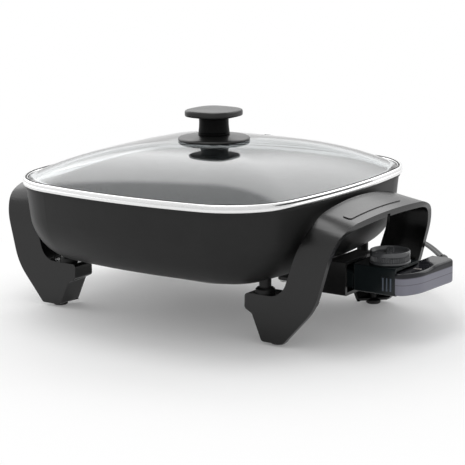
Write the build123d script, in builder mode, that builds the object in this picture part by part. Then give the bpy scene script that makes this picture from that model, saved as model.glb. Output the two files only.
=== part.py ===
"""Electric skillet: a deep square pan on two arched handles, with a domed glass lid and a heat control.

Millimetres, +Z up. The origin is on the table under the lid knob. The heat control is on the +X side
and the front is on the -Y side.
"""

import os
from math import cos, pi, radians, sin, sqrt, tan

from build123d import *

os.makedirs("parts", exist_ok=True)

# Fits
screw_gap = 0.15
running_gap = 0.06
plug_gap = 0.3

# Plan that lid and pan share: a square with bowed sides and round corners. Further down, a name that
# ends in _out is a place along X, counted outwards from the edge of this plan
lid_half = 157.0
side_bow = 16.5
corner_radius = 72.0

# Pan
pan_base = 52.0
pan_top = 126.4
pan_inset = 2.6
pan_wall = 3.0
pan_floor = 4.0
pan_draft = 6.0
pan_bottom_radius = 50.0
flange_inset = 1.8
flange_thickness = 2.4

# Posts that carry the pan on the handles
post_out = -42.0
post_end_gap = 11.5
post_diameter = 11.0
collar_diameter = 17.5
collar_height = 5.0
collar_chamfer = 1.2
shelf_top = 45.0
shelf_thickness = 4.0
post_screw_diameter = 5.0
post_screw_head = 9.5
post_screw_head_height = 3.2
post_screw_reach = 7.0

# Lid rim, a rolled steel band round the glass
rim_height = 7.2
rim_sheet = 1.1
rim_roll = 2.4
rim_lip_width = 4.4
rim_foot_width = 7.6
rim_groove_inset = 2.7
rim_groove_width = 0.7
rim_groove_depth = 0.5

# Lid glass
glass_gap = 0.4
glass_thickness = 3.2
glass_edge_width = 5.0
dome_rise = 31.3
dome_power = 2.6
dome_steps = (1.0, 0.9, 0.77, 0.6, 0.42, 0.23)
knob_hole_diameter = 8.0

# Lid knob
gasket_diameter = 26.0
gasket_thickness = 2.2
skirt_radius = 34.7
skirt_edge = 1.0
skirt_height = 6.2
skirt_neck_radius = 16.4
skirt_hollow = 0.7
stem_radius = 15.0
stem_waist_radius = 14.2
stem_height = 15.5
cap_half = 25.5
cap_bow = 4.0
cap_corner_radius = 17.0
cap_thickness = 5.6
cap_crown = 2.4
cap_crown_share = 0.8
cap_edge_radius = 1.4
cap_top_radius = 5.1
knob_screw_diameter = 5.0
knob_screw_head = 10.0
knob_screw_head_height = 3.0
knob_screw_reach = 17.0
knob_washer_diameter = 22.0
knob_washer_thickness = 1.2

# Steam vent, an eyelet through the back of the glass
vent_distance = 92.0
vent_hole_diameter = 7.0
vent_bore_diameter = 4.0
vent_flange_diameter = 11.5
vent_flange_thickness = 1.1

# Handles, each an arched channel that stands on two legs
arch_foot = 96.5
arch_lean = 5.5
arch_side_top = 110.0
arch_crown = 123.6
shoulder_radius = 45.0
leg_base = 3.0
leg_depth = 27.0
grip_depth = 14.0
opening_radius = 34.0
skin = 3.2
lip_depth = 5.6
lip_width = 3.2
web = 3.0
foot_plate = 3.0
foot_inner_out = -39.0
foot_outer_out = -17.0
knee_out = 15.0
knee_z = 38.0
grip_outer_out = 37.1
grip_outer_z = 115.0
grip_inner_out = 3.0
grip_inner_z = 112.0
waist_out = -19.0
tab_out = -58.0
tab_foot_z = 31.0
heel_out = -50.0
heel_z = 27.0
foot_radius = 3.5
knee_radius = 60.0
grip_outer_radius = 40.0
grip_inner_radius = 30.0
waist_radius = 18.0
tab_radius = 3.5
heel_radius = 5.0
grip_ridge_out = 24.0
grip_ridge_y = -10.0
grip_ridge_width = 9.0
grip_ridge_length = 90.0
grip_ridge_height = 0.9
lip_notch_y = -3.0
lip_notch_width = 5.0

# Rubber feet
foot_out = -29.0
foot_end_gap = 12.5
foot_diameter = 14.0
foot_stem_diameter = 6.0
foot_stem_height = 6.0

# Heating element under the pan, with its channel and terminals
element_diameter = 7.0
element_out = -77.0
element_corner = 35.0
element_bend = 12.0
element_end_out = -45.0
channel_width = 13.0
channel_roof = 1.2
terminal_y = 13.0
pin_diameter = 4.75
pin_reach = 44.0
insulator_diameter = 9.0
insulator_flange = 11.0
insulator_flange_thickness = 1.5

# Probe guide under the pan
guide_start_out = -95.0
guide_end_out = -43.0
guide_width = 12.0
guide_height = 10.0
guide_blind = 12.0

# Terminal shroud, the socket that the heat control plugs into
shroud_back_out = -27.0
shroud_front_out = 5.6
shroud_top_out = -13.0
shroud_half = 26.0
shroud_base = 35.0
shroud_top = 66.7
shroud_back_top = 56.0
shroud_wall = 3.0
shroud_ear_out = -60.0
shroud_ear_y = 27.0
shroud_ear_width = 11.0
shroud_ear_thickness = 3.0
shroud_boss_diameter = 10.0
shroud_boss_height = 6.0
shroud_screw_diameter = 4.0
shroud_screw_head = 7.5
shroud_screw_head_height = 2.4

# Heat control, front part
nose_out = -16.0
nose_half = 19.0
nose_base = 41.0
nose_top = 58.5
front_out = 10.0
front_end_out = 54.5
front_half = 22.0
front_base = 40.5
front_top = 65.5
front_wall = 2.4
front_edge = 1.6
nose_edge = 3.0
rib_out = 40.5
rib_pitch = 3.7
rib_width = 1.5
rib_height = 12.0
rib_z = 52.5
rib_proud = 0.9
probe_diameter = 6.35
probe_tip_out = -79.0
socket_diameter = 7.2
socket_start_out = -13.0
socket_bore_length = 20.0
socket_tail = 6.0
socket_tail_width = 5.0
socket_tail_thickness = 1.0

# Heat control, rear part
rear_base = 41.0
rear_split = 51.0
rear_deck = 61.4
tail_top = 63.5
tail_y = 54.0
tail_inner_out = 50.0
tail_outer_out = 75.0
tail_joint_gap = 0.5
near_bend_out = 61.0
near_bend_radius = 11.5
side_bend_out = 70.8
side_bend_y = -6.0
side_bend_radius = 40.0
tail_corner_radius = 6.0
tail_inner_radius = 3.0
swoop_start_y = 8.0
swoop_end_y = 30.0
rear_wall = 2.2
rear_edge = 3.0
rear_screw_out = 62.5
rear_screw_y = (-9.0, 33.0)
rear_screw_diameter = 3.0
rear_screw_head = 5.5
rear_screw_head_height = 2.0
rear_screw_reach = 6.5
rear_boss_diameter = 6.5
lens_out = 62.0
lens_y = 5.7
lens_length = 7.0
lens_width = 3.0
lens_proud = 0.4
lens_flange = 1.0
lamp_diameter = 5.0
lamp_gap = 0.8

# Dial
dial_setback = 17.8
dial_diameter = 36.6
dial_skirt = 37.8
dial_skirt_height = 2.2
dial_top = 77.4
dial_lift = 0.4
dial_recess = 3.4
dial_ring = 2.6
dial_grip_width = 7.0
dial_floor = 3.0
dial_hub_diameter = 10.0
dial_edge = 0.8
knurl_count = 54
knurl_radius = 0.55
knurl_height = 6.0
shaft_diameter = 6.0
hub_depth = 4.0

# Thermostat inside the control
frame_sheet = 1.2
frame_half = 12.0
frame_start_out = 14.0
frame_length = 37.0
frame_upright = 14.0
stack_length = 8.0
stack_width = 11.0
stack_layers = (3.0, 2.4, 2.0)
blade_thickness = 0.8
blade_width = 8.0
blade_length = 32.0
button_diameter = 4.0
button_inset = 3.0
button_gap = 0.3
shaft_end_gap = 0.3

# Mains cord
cord_diameter = 6.4
relief_out = 58.5
relief_z = 55.6
relief_root_diameter = 11.0
relief_tip_diameter = 8.4
relief_neck_diameter = 9.0
relief_collar_diameter = 10.5
relief_collar_thickness = 1.5
relief_bend_radius = 35.0
relief_turn = 40.0
relief_steps = 5
cord_first_run = 38.0
cord_route = (
    (148.0, 139.0, 54.5),
    (128.0, 160.0, 43.0),
    (110.0, 172.0, 26.0),
    (90.0, 179.0, 11.0),
    (64.0, 183.5, 4.8),
    (36.0, 185.0, 4.5),
    (8.0, 183.0, 4.4),
)
bend_share = 0.45
coil_x = -30.0
coil_y = 222.5
coil_outer_radius = 39.5
coil_turns = 3.0
coil_step = 7.1
coil_floor = 1.2
gap_samples = 900
tie_turn = 0.25
tie_width = 6.0
tie_thickness = 0.8
tie_gap = 0.35
tie_head = 7.0
tie_head_height = 4.0
plug_lead = 40.0
plug_length = 33.0
plug_width = 25.0
plug_neck = 12.0
plug_taper = 12.0
plug_edge = 3.0
blade_pin_length = 17.0
blade_pin_height = 6.4
blade_pin_thickness = 1.5
blade_pin_spacing = 12.7

# Places along X that follow from the lid's edge
post_x = lid_half + post_out
foot_inner_x = lid_half + foot_inner_out
foot_outer_x = lid_half + foot_outer_out
knee_x = lid_half + knee_out
grip_outer_x = lid_half + grip_outer_out
grip_inner_x = lid_half + grip_inner_out
waist_x = lid_half + waist_out
tab_x = lid_half + tab_out
heel_x = lid_half + heel_out
grip_ridge_x = lid_half + grip_ridge_out
foot_x = lid_half + foot_out
element_half = lid_half + element_out
element_end_x = lid_half + element_end_out
guide_start_x = lid_half + guide_start_out
guide_end_x = lid_half + guide_end_out
shroud_back_x = lid_half + shroud_back_out
shroud_front_x = lid_half + shroud_front_out
shroud_top_x = lid_half + shroud_top_out
shroud_ear_x = lid_half + shroud_ear_out
nose_x = lid_half + nose_out
front_x = lid_half + front_out
front_end_x = lid_half + front_end_out
rib_x = lid_half + rib_out
probe_tip_x = lid_half + probe_tip_out
socket_start_x = lid_half + socket_start_out
tail_inner_x = lid_half + tail_inner_out
tail_outer_x = lid_half + tail_outer_out
near_bend_x = lid_half + near_bend_out
side_bend_x = lid_half + side_bend_out
rear_screw_x = lid_half + rear_screw_out
lens_x = lid_half + lens_out
frame_start_x = lid_half + frame_start_out
relief_x = lid_half + relief_out
dial_x = front_end_x - dial_setback

# Heights and other places that follow from the sizes above
arch_head = arch_foot - arch_lean
post_y = arch_foot - post_end_gap
foot_y = arch_foot - foot_end_gap
post_foot = shelf_top + collar_height
rim_top = pan_top + rim_height
glass_edge_bottom = pan_top + rim_sheet
glass_edge_top = glass_edge_bottom + glass_thickness
glass_half = lid_half - rim_sheet - glass_gap
glass_top = glass_edge_top + dome_rise * (1 - dome_steps[-1] ** dome_power)
skirt_base = glass_top + gasket_thickness
stem_base = skirt_base + skirt_height
cap_base = stem_base + stem_height
shroud_foot = pan_base - shroud_boss_height
terminal_z = pan_base - channel_roof - screw_gap - element_diameter / 2
cord_radius = cord_diameter / 2
coil_low_z = cord_radius + coil_floor
coil_high_z = coil_low_z + coil_step


def bowed_square(half, bow, radius, height):
    """A square with bowed sides and round corners, at a height."""
    corner = half - bow
    with BuildSketch(Plane.XY.offset(height)) as plan:
        with BuildLine():
            for turn in range(4):
                start, middle, end = (
                    Vector(point).rotate(Axis.Z, 90 * turn)
                    for point in ((corner, -corner), (half, 0), (corner, corner))
                )
                ThreePointArc(start, middle, end)
        make_face()
        fillet(plan.vertices(), radius)
    return plan.sketch


def lid_plan(inset, height):
    """The plan that lid and pan share, set in by a distance."""
    return bowed_square(lid_half - inset, side_bow, corner_radius - inset, height)


def dome_section(share, half, edge_height):
    """One level line of the glass dome, at a share of the way out from the middle."""
    height = edge_height + dome_rise * (1 - share**dome_power)
    scale = share * half / lid_half
    return bowed_square(share * half, side_bow * scale, corner_radius * scale, height)


def mirrored_places(x, y):
    """The four places that mirror one another in both centre planes."""
    return [(side * x, end * y) for side in (1, -1) for end in (1, -1)]


def screw(at, axis, diameter, length, head, head_height):
    """A plain screw: head below its seat at the given place, shank along the axis."""
    with BuildPart(Plane(at, z_dir=axis)) as fastener:
        Cylinder(diameter / 2, length, align=(Align.CENTER, Align.CENTER, Align.MIN))
        Cylinder(head / 2, head_height, align=(Align.CENTER, Align.CENTER, Align.MAX))
        fillet(fastener.faces().sort_by(Axis(at, axis))[0].edges(), head_height / 3)
    return fastener.part


def save(part, name):
    """Name a finished piece and write its file."""
    part.label = name
    export_step(part, f"parts/{name}.step")


# Pan
with BuildPart() as pan_hollow:
    extrude(lid_plan(pan_inset + pan_wall, pan_top), amount=pan_base + pan_floor - pan_top, taper=pan_draft)
    fillet(pan_hollow.faces().sort_by(Axis.Z)[0].edges(), pan_bottom_radius - pan_wall)

with BuildPart() as pan:
    extrude(lid_plan(pan_inset, pan_top), amount=pan_base - pan_top, taper=pan_draft)
    fillet(pan.faces().sort_by(Axis.Z)[0].edges(), pan_bottom_radius)
    extrude(lid_plan(flange_inset, pan_top), amount=-flange_thickness)
    with BuildSketch(Plane.XY.offset(post_foot)):
        with Locations(*mirrored_places(post_x, post_y)):
            Circle(post_diameter / 2)
    extrude(amount=pan_base + pan_bottom_radius / 2 - post_foot)
    with BuildSketch(Plane.XY.offset(shroud_foot)):
        with Locations((shroud_ear_x, shroud_ear_y), (shroud_ear_x, -shroud_ear_y)):
            Circle(shroud_boss_diameter / 2)
    extrude(amount=shroud_boss_height + pan_floor / 2)
    add(pan_hollow.part, mode=Mode.SUBTRACT)
    with BuildSketch(Plane.XY.offset(post_foot)):
        with Locations(*mirrored_places(post_x, post_y)):
            Circle(post_screw_diameter / 2 + screw_gap)
    extrude(amount=post_screw_reach, mode=Mode.SUBTRACT)
    with BuildSketch(Plane.XY.offset(shroud_foot)):
        with Locations((shroud_ear_x, shroud_ear_y), (shroud_ear_x, -shroud_ear_y)):
            Circle(shroud_screw_diameter / 2 + screw_gap)
    extrude(amount=shroud_boss_height, mode=Mode.SUBTRACT)
save(pan.part, "pan")

# Collars between the pan's posts and the handle shelves
with BuildPart() as post_collars:
    with BuildSketch(Plane.XY.offset(shelf_top)):
        with Locations(*mirrored_places(post_x, post_y)):
            Circle(collar_diameter / 2)
            Circle(post_screw_diameter / 2 + screw_gap, mode=Mode.SUBTRACT)
    extrude(amount=collar_height)
    collar_tops = post_collars.edges().group_by(Axis.Z)[-1]
    chamfer(collar_tops.filter_by(lambda edge: edge.radius > post_diameter / 2), collar_chamfer)
save(post_collars.part, "post_collars")

# Handles
arch_floor = leg_base - leg_depth


def arch_outline(inset):
    """Side view of the arch, set in by a distance and open below the feet."""
    with BuildSketch(Plane.YZ) as outline:
        with BuildLine():
            Polyline(
                (-arch_head, arch_side_top),
                (-arch_foot, leg_base),
                (-arch_foot, arch_floor),
                (arch_foot, arch_floor),
                (arch_foot, leg_base),
                (arch_head, arch_side_top),
            )
            ThreePointArc((arch_head, arch_side_top), (0, arch_crown), (-arch_head, arch_side_top))
        make_face()
        fillet(outline.vertices().group_by(Axis.Y)[-1], shoulder_radius)
        if inset:
            offset(amount=-inset, mode=Mode.REPLACE)
    return outline.sketch


def opening_outline():
    """Side view of the opening under the arch, between the inner faces of its legs."""
    half = arch_foot - leg_depth
    head = arch_crown - grip_depth
    with BuildSketch(Plane.YZ) as outline:
        with BuildLine():
            Polyline((-half, arch_floor), (half, arch_floor), (half, head), (-half, head), close=True)
        make_face()
        fillet(outline.vertices().group_by(Axis.Y)[-1], opening_radius)
    return outline.sketch


def leg_outline(shift):
    """Front view of a leg with its shelf and the end of the grip, moved along X by a distance."""
    above = arch_crown + grip_outer_radius
    corners = (
        (foot_inner_x, leg_base, foot_radius),
        (foot_outer_x, leg_base, foot_radius),
        (knee_x, knee_z, knee_radius),
        (grip_outer_x, grip_outer_z, grip_outer_radius),
        (grip_outer_x, above, 0),
        (grip_inner_x, above, 0),
        (grip_inner_x, grip_inner_z, grip_inner_radius),
        (waist_x, shelf_top, waist_radius),
        (tab_x, shelf_top, tab_radius),
        (tab_x, tab_foot_z, tab_radius),
        (heel_x, heel_z, heel_radius),
    )
    with BuildSketch(Plane.XZ) as outline:
        with BuildLine():
            FilletPolyline(
                *[(x + shift, z) for x, z, radius in corners],
                radius=[radius for x, z, radius in corners],
                close=True,
            )
        make_face()
    return outline.sketch


def edge_strip(shift):
    """Front view of the strip along one edge of a leg, as wide as the shift away from it."""
    with BuildSketch(Plane.XZ) as strip:
        add(leg_outline(0))
        add(leg_outline(shift), mode=Mode.SUBTRACT)
    return strip.sketch


handle_reach = grip_outer_x + lip_width

with BuildPart() as handle_skin:
    extrude(arch_outline(0), amount=handle_reach)
    extrude(arch_outline(skin), amount=handle_reach, mode=Mode.SUBTRACT)
    extrude(leg_outline(0), amount=arch_foot, both=True, mode=Mode.INTERSECT)

with BuildPart() as handle_lip:
    extrude(arch_outline(0), amount=handle_reach)
    extrude(arch_outline(lip_depth), amount=handle_reach, mode=Mode.SUBTRACT)
    extrude(edge_strip(-lip_width), amount=arch_foot, both=True, mode=Mode.INTERSECT)
    with BuildSketch(Plane.YZ.offset(grip_inner_x)):
        with Locations((lip_notch_y, arch_crown - skin - lip_depth / 2)):
            Rectangle(lip_notch_width, lip_depth)
    extrude(amount=handle_reach - grip_inner_x, mode=Mode.SUBTRACT)

with BuildPart() as handle_web:
    extrude(arch_outline(0), amount=handle_reach)
    extrude(opening_outline(), amount=handle_reach, mode=Mode.SUBTRACT)
    extrude(edge_strip(web), amount=arch_foot, both=True, mode=Mode.INTERSECT)

with BuildPart() as handle_shelves:
    extrude(arch_outline(0), amount=handle_reach)
    extrude(opening_outline(), amount=handle_reach, mode=Mode.SUBTRACT)
    extrude(leg_outline(0), amount=arch_foot, both=True, mode=Mode.INTERSECT)
    with BuildSketch(Plane.XZ):
        for low, high in ((leg_base, leg_base + foot_plate), (shelf_top - shelf_thickness, shelf_top)):
            with Locations((0, low)):
                Rectangle(2 * handle_reach, high - low, align=(Align.CENTER, Align.MIN))
    extrude(amount=arch_foot, both=True, mode=Mode.INTERSECT)

with BuildPart() as grip_ridge:
    extrude(arch_outline(-grip_ridge_height), amount=handle_reach)
    extrude(arch_outline(skin / 2), amount=handle_reach, mode=Mode.SUBTRACT)
    with BuildSketch(Plane.XY.offset(arch_side_top)):
        with Locations((grip_ridge_x, grip_ridge_y)):
            RectangleRounded(grip_ridge_width, grip_ridge_length, grip_ridge_width / 3)
    extrude(amount=arch_crown + skin - arch_side_top, mode=Mode.INTERSECT)

with BuildPart() as right_handle:
    add(handle_skin.part)
    add(handle_lip.part)
    add(handle_web.part)
    add(handle_shelves.part)
    add(grip_ridge.part)
    with BuildSketch(Plane.XY.offset(leg_base)):
        with Locations((foot_x, foot_y), (foot_x, -foot_y)):
            Circle(foot_stem_diameter / 2 + screw_gap)
    extrude(amount=foot_plate, mode=Mode.SUBTRACT)
    with BuildSketch(Plane.XY.offset(shelf_top)):
        with Locations((post_x, post_y), (post_x, -post_y)):
            Circle(post_screw_diameter / 2 + screw_gap)
    extrude(amount=-shelf_thickness, mode=Mode.SUBTRACT)
save(right_handle.part, "right_handle")

with BuildPart() as left_handle:
    add(mirror(right_handle.part, about=Plane.YZ, mode=Mode.PRIVATE))
save(left_handle.part, "left_handle")

# Screws that hold each handle to its posts
with BuildPart() as handle_screws:
    for x, y in mirrored_places(post_x, post_y):
        add(
            screw(
                (x, y, shelf_top - shelf_thickness),
                (0, 0, 1),
                post_screw_diameter,
                shelf_thickness + collar_height + post_screw_reach - screw_gap,
                post_screw_head,
                post_screw_head_height,
            )
        )
save(handle_screws.part, "handle_screws")

# Rubber feet with stems through the legs' foot plates
with BuildPart() as rubber_feet:
    with BuildSketch():
        with Locations(*mirrored_places(foot_x, foot_y)):
            Circle(foot_diameter / 2)
    extrude(amount=leg_base)
    chamfer(rubber_feet.edges().group_by(Axis.Z)[0], leg_base / 4)
    with BuildSketch(Plane.XY.offset(leg_base)):
        with Locations(*mirrored_places(foot_x, foot_y)):
            Circle(foot_stem_diameter / 2)
    extrude(amount=foot_stem_height)
save(rubber_feet.part, "rubber_feet")

# Heating element: one loop of sheathed tube, open on the terminal side
element_points = (
    (element_end_x, -terminal_y, terminal_z),
    (element_half, -terminal_y, terminal_z),
    (element_half, -element_half, terminal_z),
    (-element_half, -element_half, terminal_z),
    (-element_half, element_half, terminal_z),
    (element_half, element_half, terminal_z),
    (element_half, terminal_y, terminal_z),
    (element_end_x, terminal_y, terminal_z),
)
element_radii = (element_bend, *[element_corner] * 4, element_bend)

with BuildLine() as element_path:
    FilletPolyline(*element_points, radius=element_radii)

with BuildPart() as heating_element:
    with BuildSketch(Plane(element_points[0], z_dir=(-1, 0, 0))):
        Circle(element_diameter / 2)
    sweep(path=element_path.line)
save(heating_element.part, "heating_element")

# Channel that holds the element's upper half against the pan
with BuildPart() as element_channel:
    with BuildSketch(Plane(element_points[0], x_dir=(0, 1, 0), z_dir=(-1, 0, 0))) as channel_section:
        Rectangle(channel_width, pan_base - terminal_z, align=(Align.CENTER, Align.MAX))
        Circle(element_diameter / 2 + screw_gap, mode=Mode.SUBTRACT)
    sweep(path=element_path.line)
save(element_channel.part, "element_channel")

# Terminal pins on the element's ends
with BuildPart() as terminal_pins:
    with BuildSketch(Plane.YZ.offset(element_end_x)):
        with Locations((terminal_y, terminal_z), (-terminal_y, terminal_z)):
            Circle(pin_diameter / 2)
    extrude(amount=pin_reach)
    fillet(terminal_pins.edges().group_by(Axis.X)[-1], pin_diameter / 4)
save(terminal_pins.part, "terminal_pins")

# Guide under the pan that takes the probe
with BuildPart() as probe_guide:
    with BuildSketch(Plane.YZ.offset(guide_start_x)) as guide_section:
        with Locations((0, pan_base)):
            Rectangle(guide_width, guide_height, align=(Align.CENTER, Align.MAX))
        fillet(guide_section.vertices().group_by(Axis.Y)[0], guide_width / 4)
    extrude(amount=guide_end_x - guide_start_x)
    with BuildSketch(Plane.YZ.offset(guide_end_x)):
        with Locations((0, terminal_z)):
            Circle(probe_diameter / 2 + plug_gap)
    extrude(amount=guide_start_x + guide_blind - guide_end_x, mode=Mode.SUBTRACT)
save(probe_guide.part, "probe_guide")

# Terminal shroud: a hood that is open towards the heat control, screwed under the pan by two ears
with BuildPart() as terminal_shroud:
    with BuildSketch(Plane.XZ.offset(-shroud_half)) as shroud_side:
        with BuildLine():
            Polyline(
                (shroud_back_x, shroud_base),
                (shroud_front_x, shroud_base),
                (shroud_front_x, shroud_top),
                (shroud_top_x, shroud_top),
                (shroud_back_x, shroud_back_top),
                close=True,
            )
        make_face()
    extrude(amount=2 * shroud_half)
    fillet(terminal_shroud.edges().filter_by(Axis.X), shroud_wall / 2)
    with BuildSketch(Plane.XZ.offset(-shroud_half + shroud_wall)) as shroud_inside:
        with BuildLine():
            Polyline(
                (shroud_back_x + shroud_wall, shroud_base + shroud_wall),
                (shroud_front_x, shroud_base + shroud_wall),
                (shroud_front_x, shroud_top - shroud_wall),
                (shroud_top_x + shroud_wall, shroud_top - shroud_wall),
                (shroud_back_x + shroud_wall, shroud_back_top - shroud_wall / 2),
                close=True,
            )
        make_face()
    extrude(amount=2 * (shroud_half - shroud_wall), mode=Mode.SUBTRACT)
    with BuildSketch(Plane.XY.offset(shroud_foot)):
        for side in (1, -1):
            with Locations((shroud_ear_x, side * shroud_ear_y)):
                Circle(shroud_ear_width / 2)
                Rectangle(
                    shroud_back_x + shroud_wall - shroud_ear_x,
                    shroud_ear_width,
                    align=(Align.MIN, Align.CENTER),
                )
                Circle(shroud_screw_diameter / 2 + screw_gap, mode=Mode.SUBTRACT)
    extrude(amount=-shroud_ear_thickness)
    with BuildSketch(Plane.YZ.offset(shroud_back_x)):
        with Locations((terminal_y, terminal_z), (-terminal_y, terminal_z)):
            Circle(insulator_diameter / 2 + screw_gap)
        with Locations((0, terminal_z)):
            Circle(probe_diameter / 2 + 4 * plug_gap)
    extrude(amount=shroud_wall, mode=Mode.SUBTRACT)
save(terminal_shroud.part, "terminal_shroud")

with BuildPart() as shroud_screws:
    for side in (1, -1):
        add(
            screw(
                (shroud_ear_x, side * shroud_ear_y, shroud_foot - shroud_ear_thickness),
                (0, 0, 1),
                shroud_screw_diameter,
                shroud_ear_thickness + shroud_boss_height - screw_gap,
                shroud_screw_head,
                shroud_screw_head_height,
            )
        )
save(shroud_screws.part, "shroud_screws")

# Ceramic bushes that carry the pins through the shroud's back wall
with BuildPart() as terminal_insulators:
    with BuildSketch(Plane.YZ.offset(shroud_back_x)):
        with Locations((terminal_y, terminal_z), (-terminal_y, terminal_z)):
            Circle(insulator_diameter / 2)
    extrude(amount=shroud_wall)
    with BuildSketch(Plane.YZ.offset(shroud_back_x)):
        with Locations((terminal_y, terminal_z), (-terminal_y, terminal_z)):
            Circle(insulator_flange / 2)
    extrude(amount=-insulator_flange_thickness)
    with BuildSketch(Plane.YZ.offset(shroud_back_x - insulator_flange_thickness)):
        with Locations((terminal_y, terminal_z), (-terminal_y, terminal_z)):
            Circle(pin_diameter / 2 + screw_gap)
    extrude(amount=shroud_wall + insulator_flange_thickness, mode=Mode.SUBTRACT)
save(terminal_insulators.part, "terminal_insulators")

# Lid rim: a rolled steel channel round the edge of the glass
with BuildPart() as lid_rim:
    extrude(lid_plan(0, pan_top), amount=rim_height)
    fillet(lid_rim.faces().sort_by(Axis.Z)[-1].edges(), rim_roll)
    extrude(lid_plan(rim_sheet, pan_top + rim_sheet), amount=rim_height - 2 * rim_sheet, mode=Mode.SUBTRACT)
    extrude(lid_plan(rim_foot_width, pan_top), amount=rim_sheet, mode=Mode.SUBTRACT)
    extrude(lid_plan(rim_lip_width, rim_top), amount=-rim_sheet, mode=Mode.SUBTRACT)
    with BuildSketch(Plane.XY.offset(rim_top)):
        add(lid_plan(rim_groove_inset, rim_top))
        add(lid_plan(rim_groove_inset + rim_groove_width, rim_top), mode=Mode.SUBTRACT)
    extrude(amount=-rim_groove_depth, mode=Mode.SUBTRACT)
save(lid_rim.part, "lid_rim")

# Lid glass: a dome lofted through level lines, over a flat edge that sits in the rim
with BuildPart() as dome_hollow:
    loft([dome_section(share, glass_half - glass_edge_width, glass_edge_bottom) for share in dome_steps])

with BuildPart() as dome:
    loft([dome_section(share, glass_half, glass_edge_top) for share in dome_steps])

# Place and lean of the steam vent on the dome, and the glass under it
vent_top, vent_normal = dome.part.find_intersection_points(Axis((0, vent_distance, 0), (0, 0, 1)))[-1]
vent_bottom = dome_hollow.part.find_intersection_points(Axis(vent_top, -vent_normal))[0][0]
vent_depth = (vent_top - vent_bottom).length + screw_gap
vent_plane = Plane(vent_top, x_dir=(1, 0, 0), z_dir=vent_normal)

with BuildPart() as lid_glass:
    extrude(dome_section(1, glass_half, glass_edge_bottom), amount=glass_thickness)
    add(dome.part)
    add(dome_hollow.part, mode=Mode.SUBTRACT)
    with BuildSketch(Plane.XY.offset(glass_top)):
        Circle(knob_hole_diameter / 2)
    extrude(amount=-2 * glass_thickness, mode=Mode.SUBTRACT)
    with BuildSketch(vent_plane):
        Circle(vent_hole_diameter / 2)
    extrude(amount=2 * vent_depth, both=True, mode=Mode.SUBTRACT)
save(lid_glass.part, "lid_glass")

# Steam vent, flanged over both faces of the glass
with BuildPart(vent_plane) as vent_eyelet:
    Cylinder(vent_flange_diameter / 2, vent_flange_thickness, align=(Align.CENTER, Align.CENTER, Align.MIN))
    fillet(vent_eyelet.edges().sort_by(Axis(vent_top, vent_normal))[-1], vent_flange_thickness / 2)
    Cylinder(vent_hole_diameter / 2 - screw_gap, vent_depth, align=(Align.CENTER, Align.CENTER, Align.MAX))
    with Locations((0, 0, -vent_depth)):
        Cylinder(
            vent_flange_diameter / 2,
            vent_flange_thickness,
            align=(Align.CENTER, Align.CENTER, Align.MAX),
        )
    Cylinder(vent_bore_diameter / 2, 4 * vent_depth, mode=Mode.SUBTRACT)
save(vent_eyelet.part, "vent_eyelet")

# Lid knob: gasket, skirt, knob, and the washer and screw that clamp them through the glass
knob_bore_radius = knob_screw_diameter / 2 + screw_gap
skirt_middle_radius = (skirt_radius + skirt_neck_radius) / 2
skirt_middle_height = skirt_base + (skirt_edge + skirt_height) / 2 - skirt_hollow
knob_washer_base = glass_top - glass_thickness - knob_washer_thickness

with BuildPart() as knob_gasket:
    with BuildSketch(Plane.XY.offset(glass_top)):
        Circle(gasket_diameter / 2)
        Circle(knob_bore_radius, mode=Mode.SUBTRACT)
    extrude(amount=gasket_thickness)
save(knob_gasket.part, "knob_gasket")

with BuildPart() as knob_skirt:
    with BuildSketch(Plane.XZ):
        with BuildLine():
            Polyline(
                (skirt_neck_radius, skirt_base + skirt_height),
                (knob_bore_radius, skirt_base + skirt_height),
                (knob_bore_radius, skirt_base),
                (skirt_radius, skirt_base),
                (skirt_radius, skirt_base + skirt_edge),
            )
            ThreePointArc(
                (skirt_radius, skirt_base + skirt_edge),
                (skirt_middle_radius, skirt_middle_height),
                (skirt_neck_radius, skirt_base + skirt_height),
            )
        make_face()
    revolve(axis=Axis.Z)
save(knob_skirt.part, "knob_skirt")

with BuildPart() as lid_knob:
    extrude(bowed_square(cap_half, cap_bow, cap_corner_radius, cap_base), amount=cap_thickness)
    fillet(lid_knob.faces().sort_by(Axis.Z)[0].edges(), cap_edge_radius)
    loft(
        [
            bowed_square(cap_half * share, cap_bow * share, cap_corner_radius * share, height)
            for share, height in (
                (1, cap_base + cap_thickness),
                (cap_crown_share, cap_base + cap_thickness + cap_crown),
            )
        ]
    )
    fillet(lid_knob.edges().group_by(Axis.Z)[-1], cap_top_radius)
    with BuildSketch(Plane.XZ):
        with BuildLine():
            ThreePointArc(
                (stem_radius, cap_base + cap_edge_radius),
                (stem_waist_radius, stem_base + stem_height / 2),
                (stem_radius, stem_base),
            )
            Polyline(
                (stem_radius, stem_base),
                (0, stem_base),
                (0, cap_base + cap_edge_radius),
                (stem_radius, cap_base + cap_edge_radius),
            )
        make_face()
    revolve(axis=Axis.Z)
    with BuildSketch(Plane.XY.offset(stem_base)):
        Circle(knob_bore_radius)
    extrude(amount=knob_screw_reach, mode=Mode.SUBTRACT)
save(lid_knob.part, "lid_knob")

with BuildPart() as knob_washer:
    with BuildSketch(Plane.XY.offset(knob_washer_base)):
        Circle(knob_washer_diameter / 2)
        Circle(knob_bore_radius, mode=Mode.SUBTRACT)
    extrude(amount=knob_washer_thickness)
save(knob_washer.part, "knob_washer")

with BuildPart() as knob_screw:
    add(
        screw(
            (0, 0, knob_washer_base),
            (0, 0, 1),
            knob_screw_diameter,
            stem_base + knob_screw_reach - screw_gap - knob_washer_base,
            knob_screw_head,
            knob_screw_head_height,
        )
    )
save(knob_screw.part, "knob_screw")

# Heat control, front housing with the nose that plugs into the shroud
cavity_x = front_x + front_wall
cavity_floor = front_base + front_wall
terminal_places = ((terminal_y, terminal_z), (-terminal_y, terminal_z))

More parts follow.
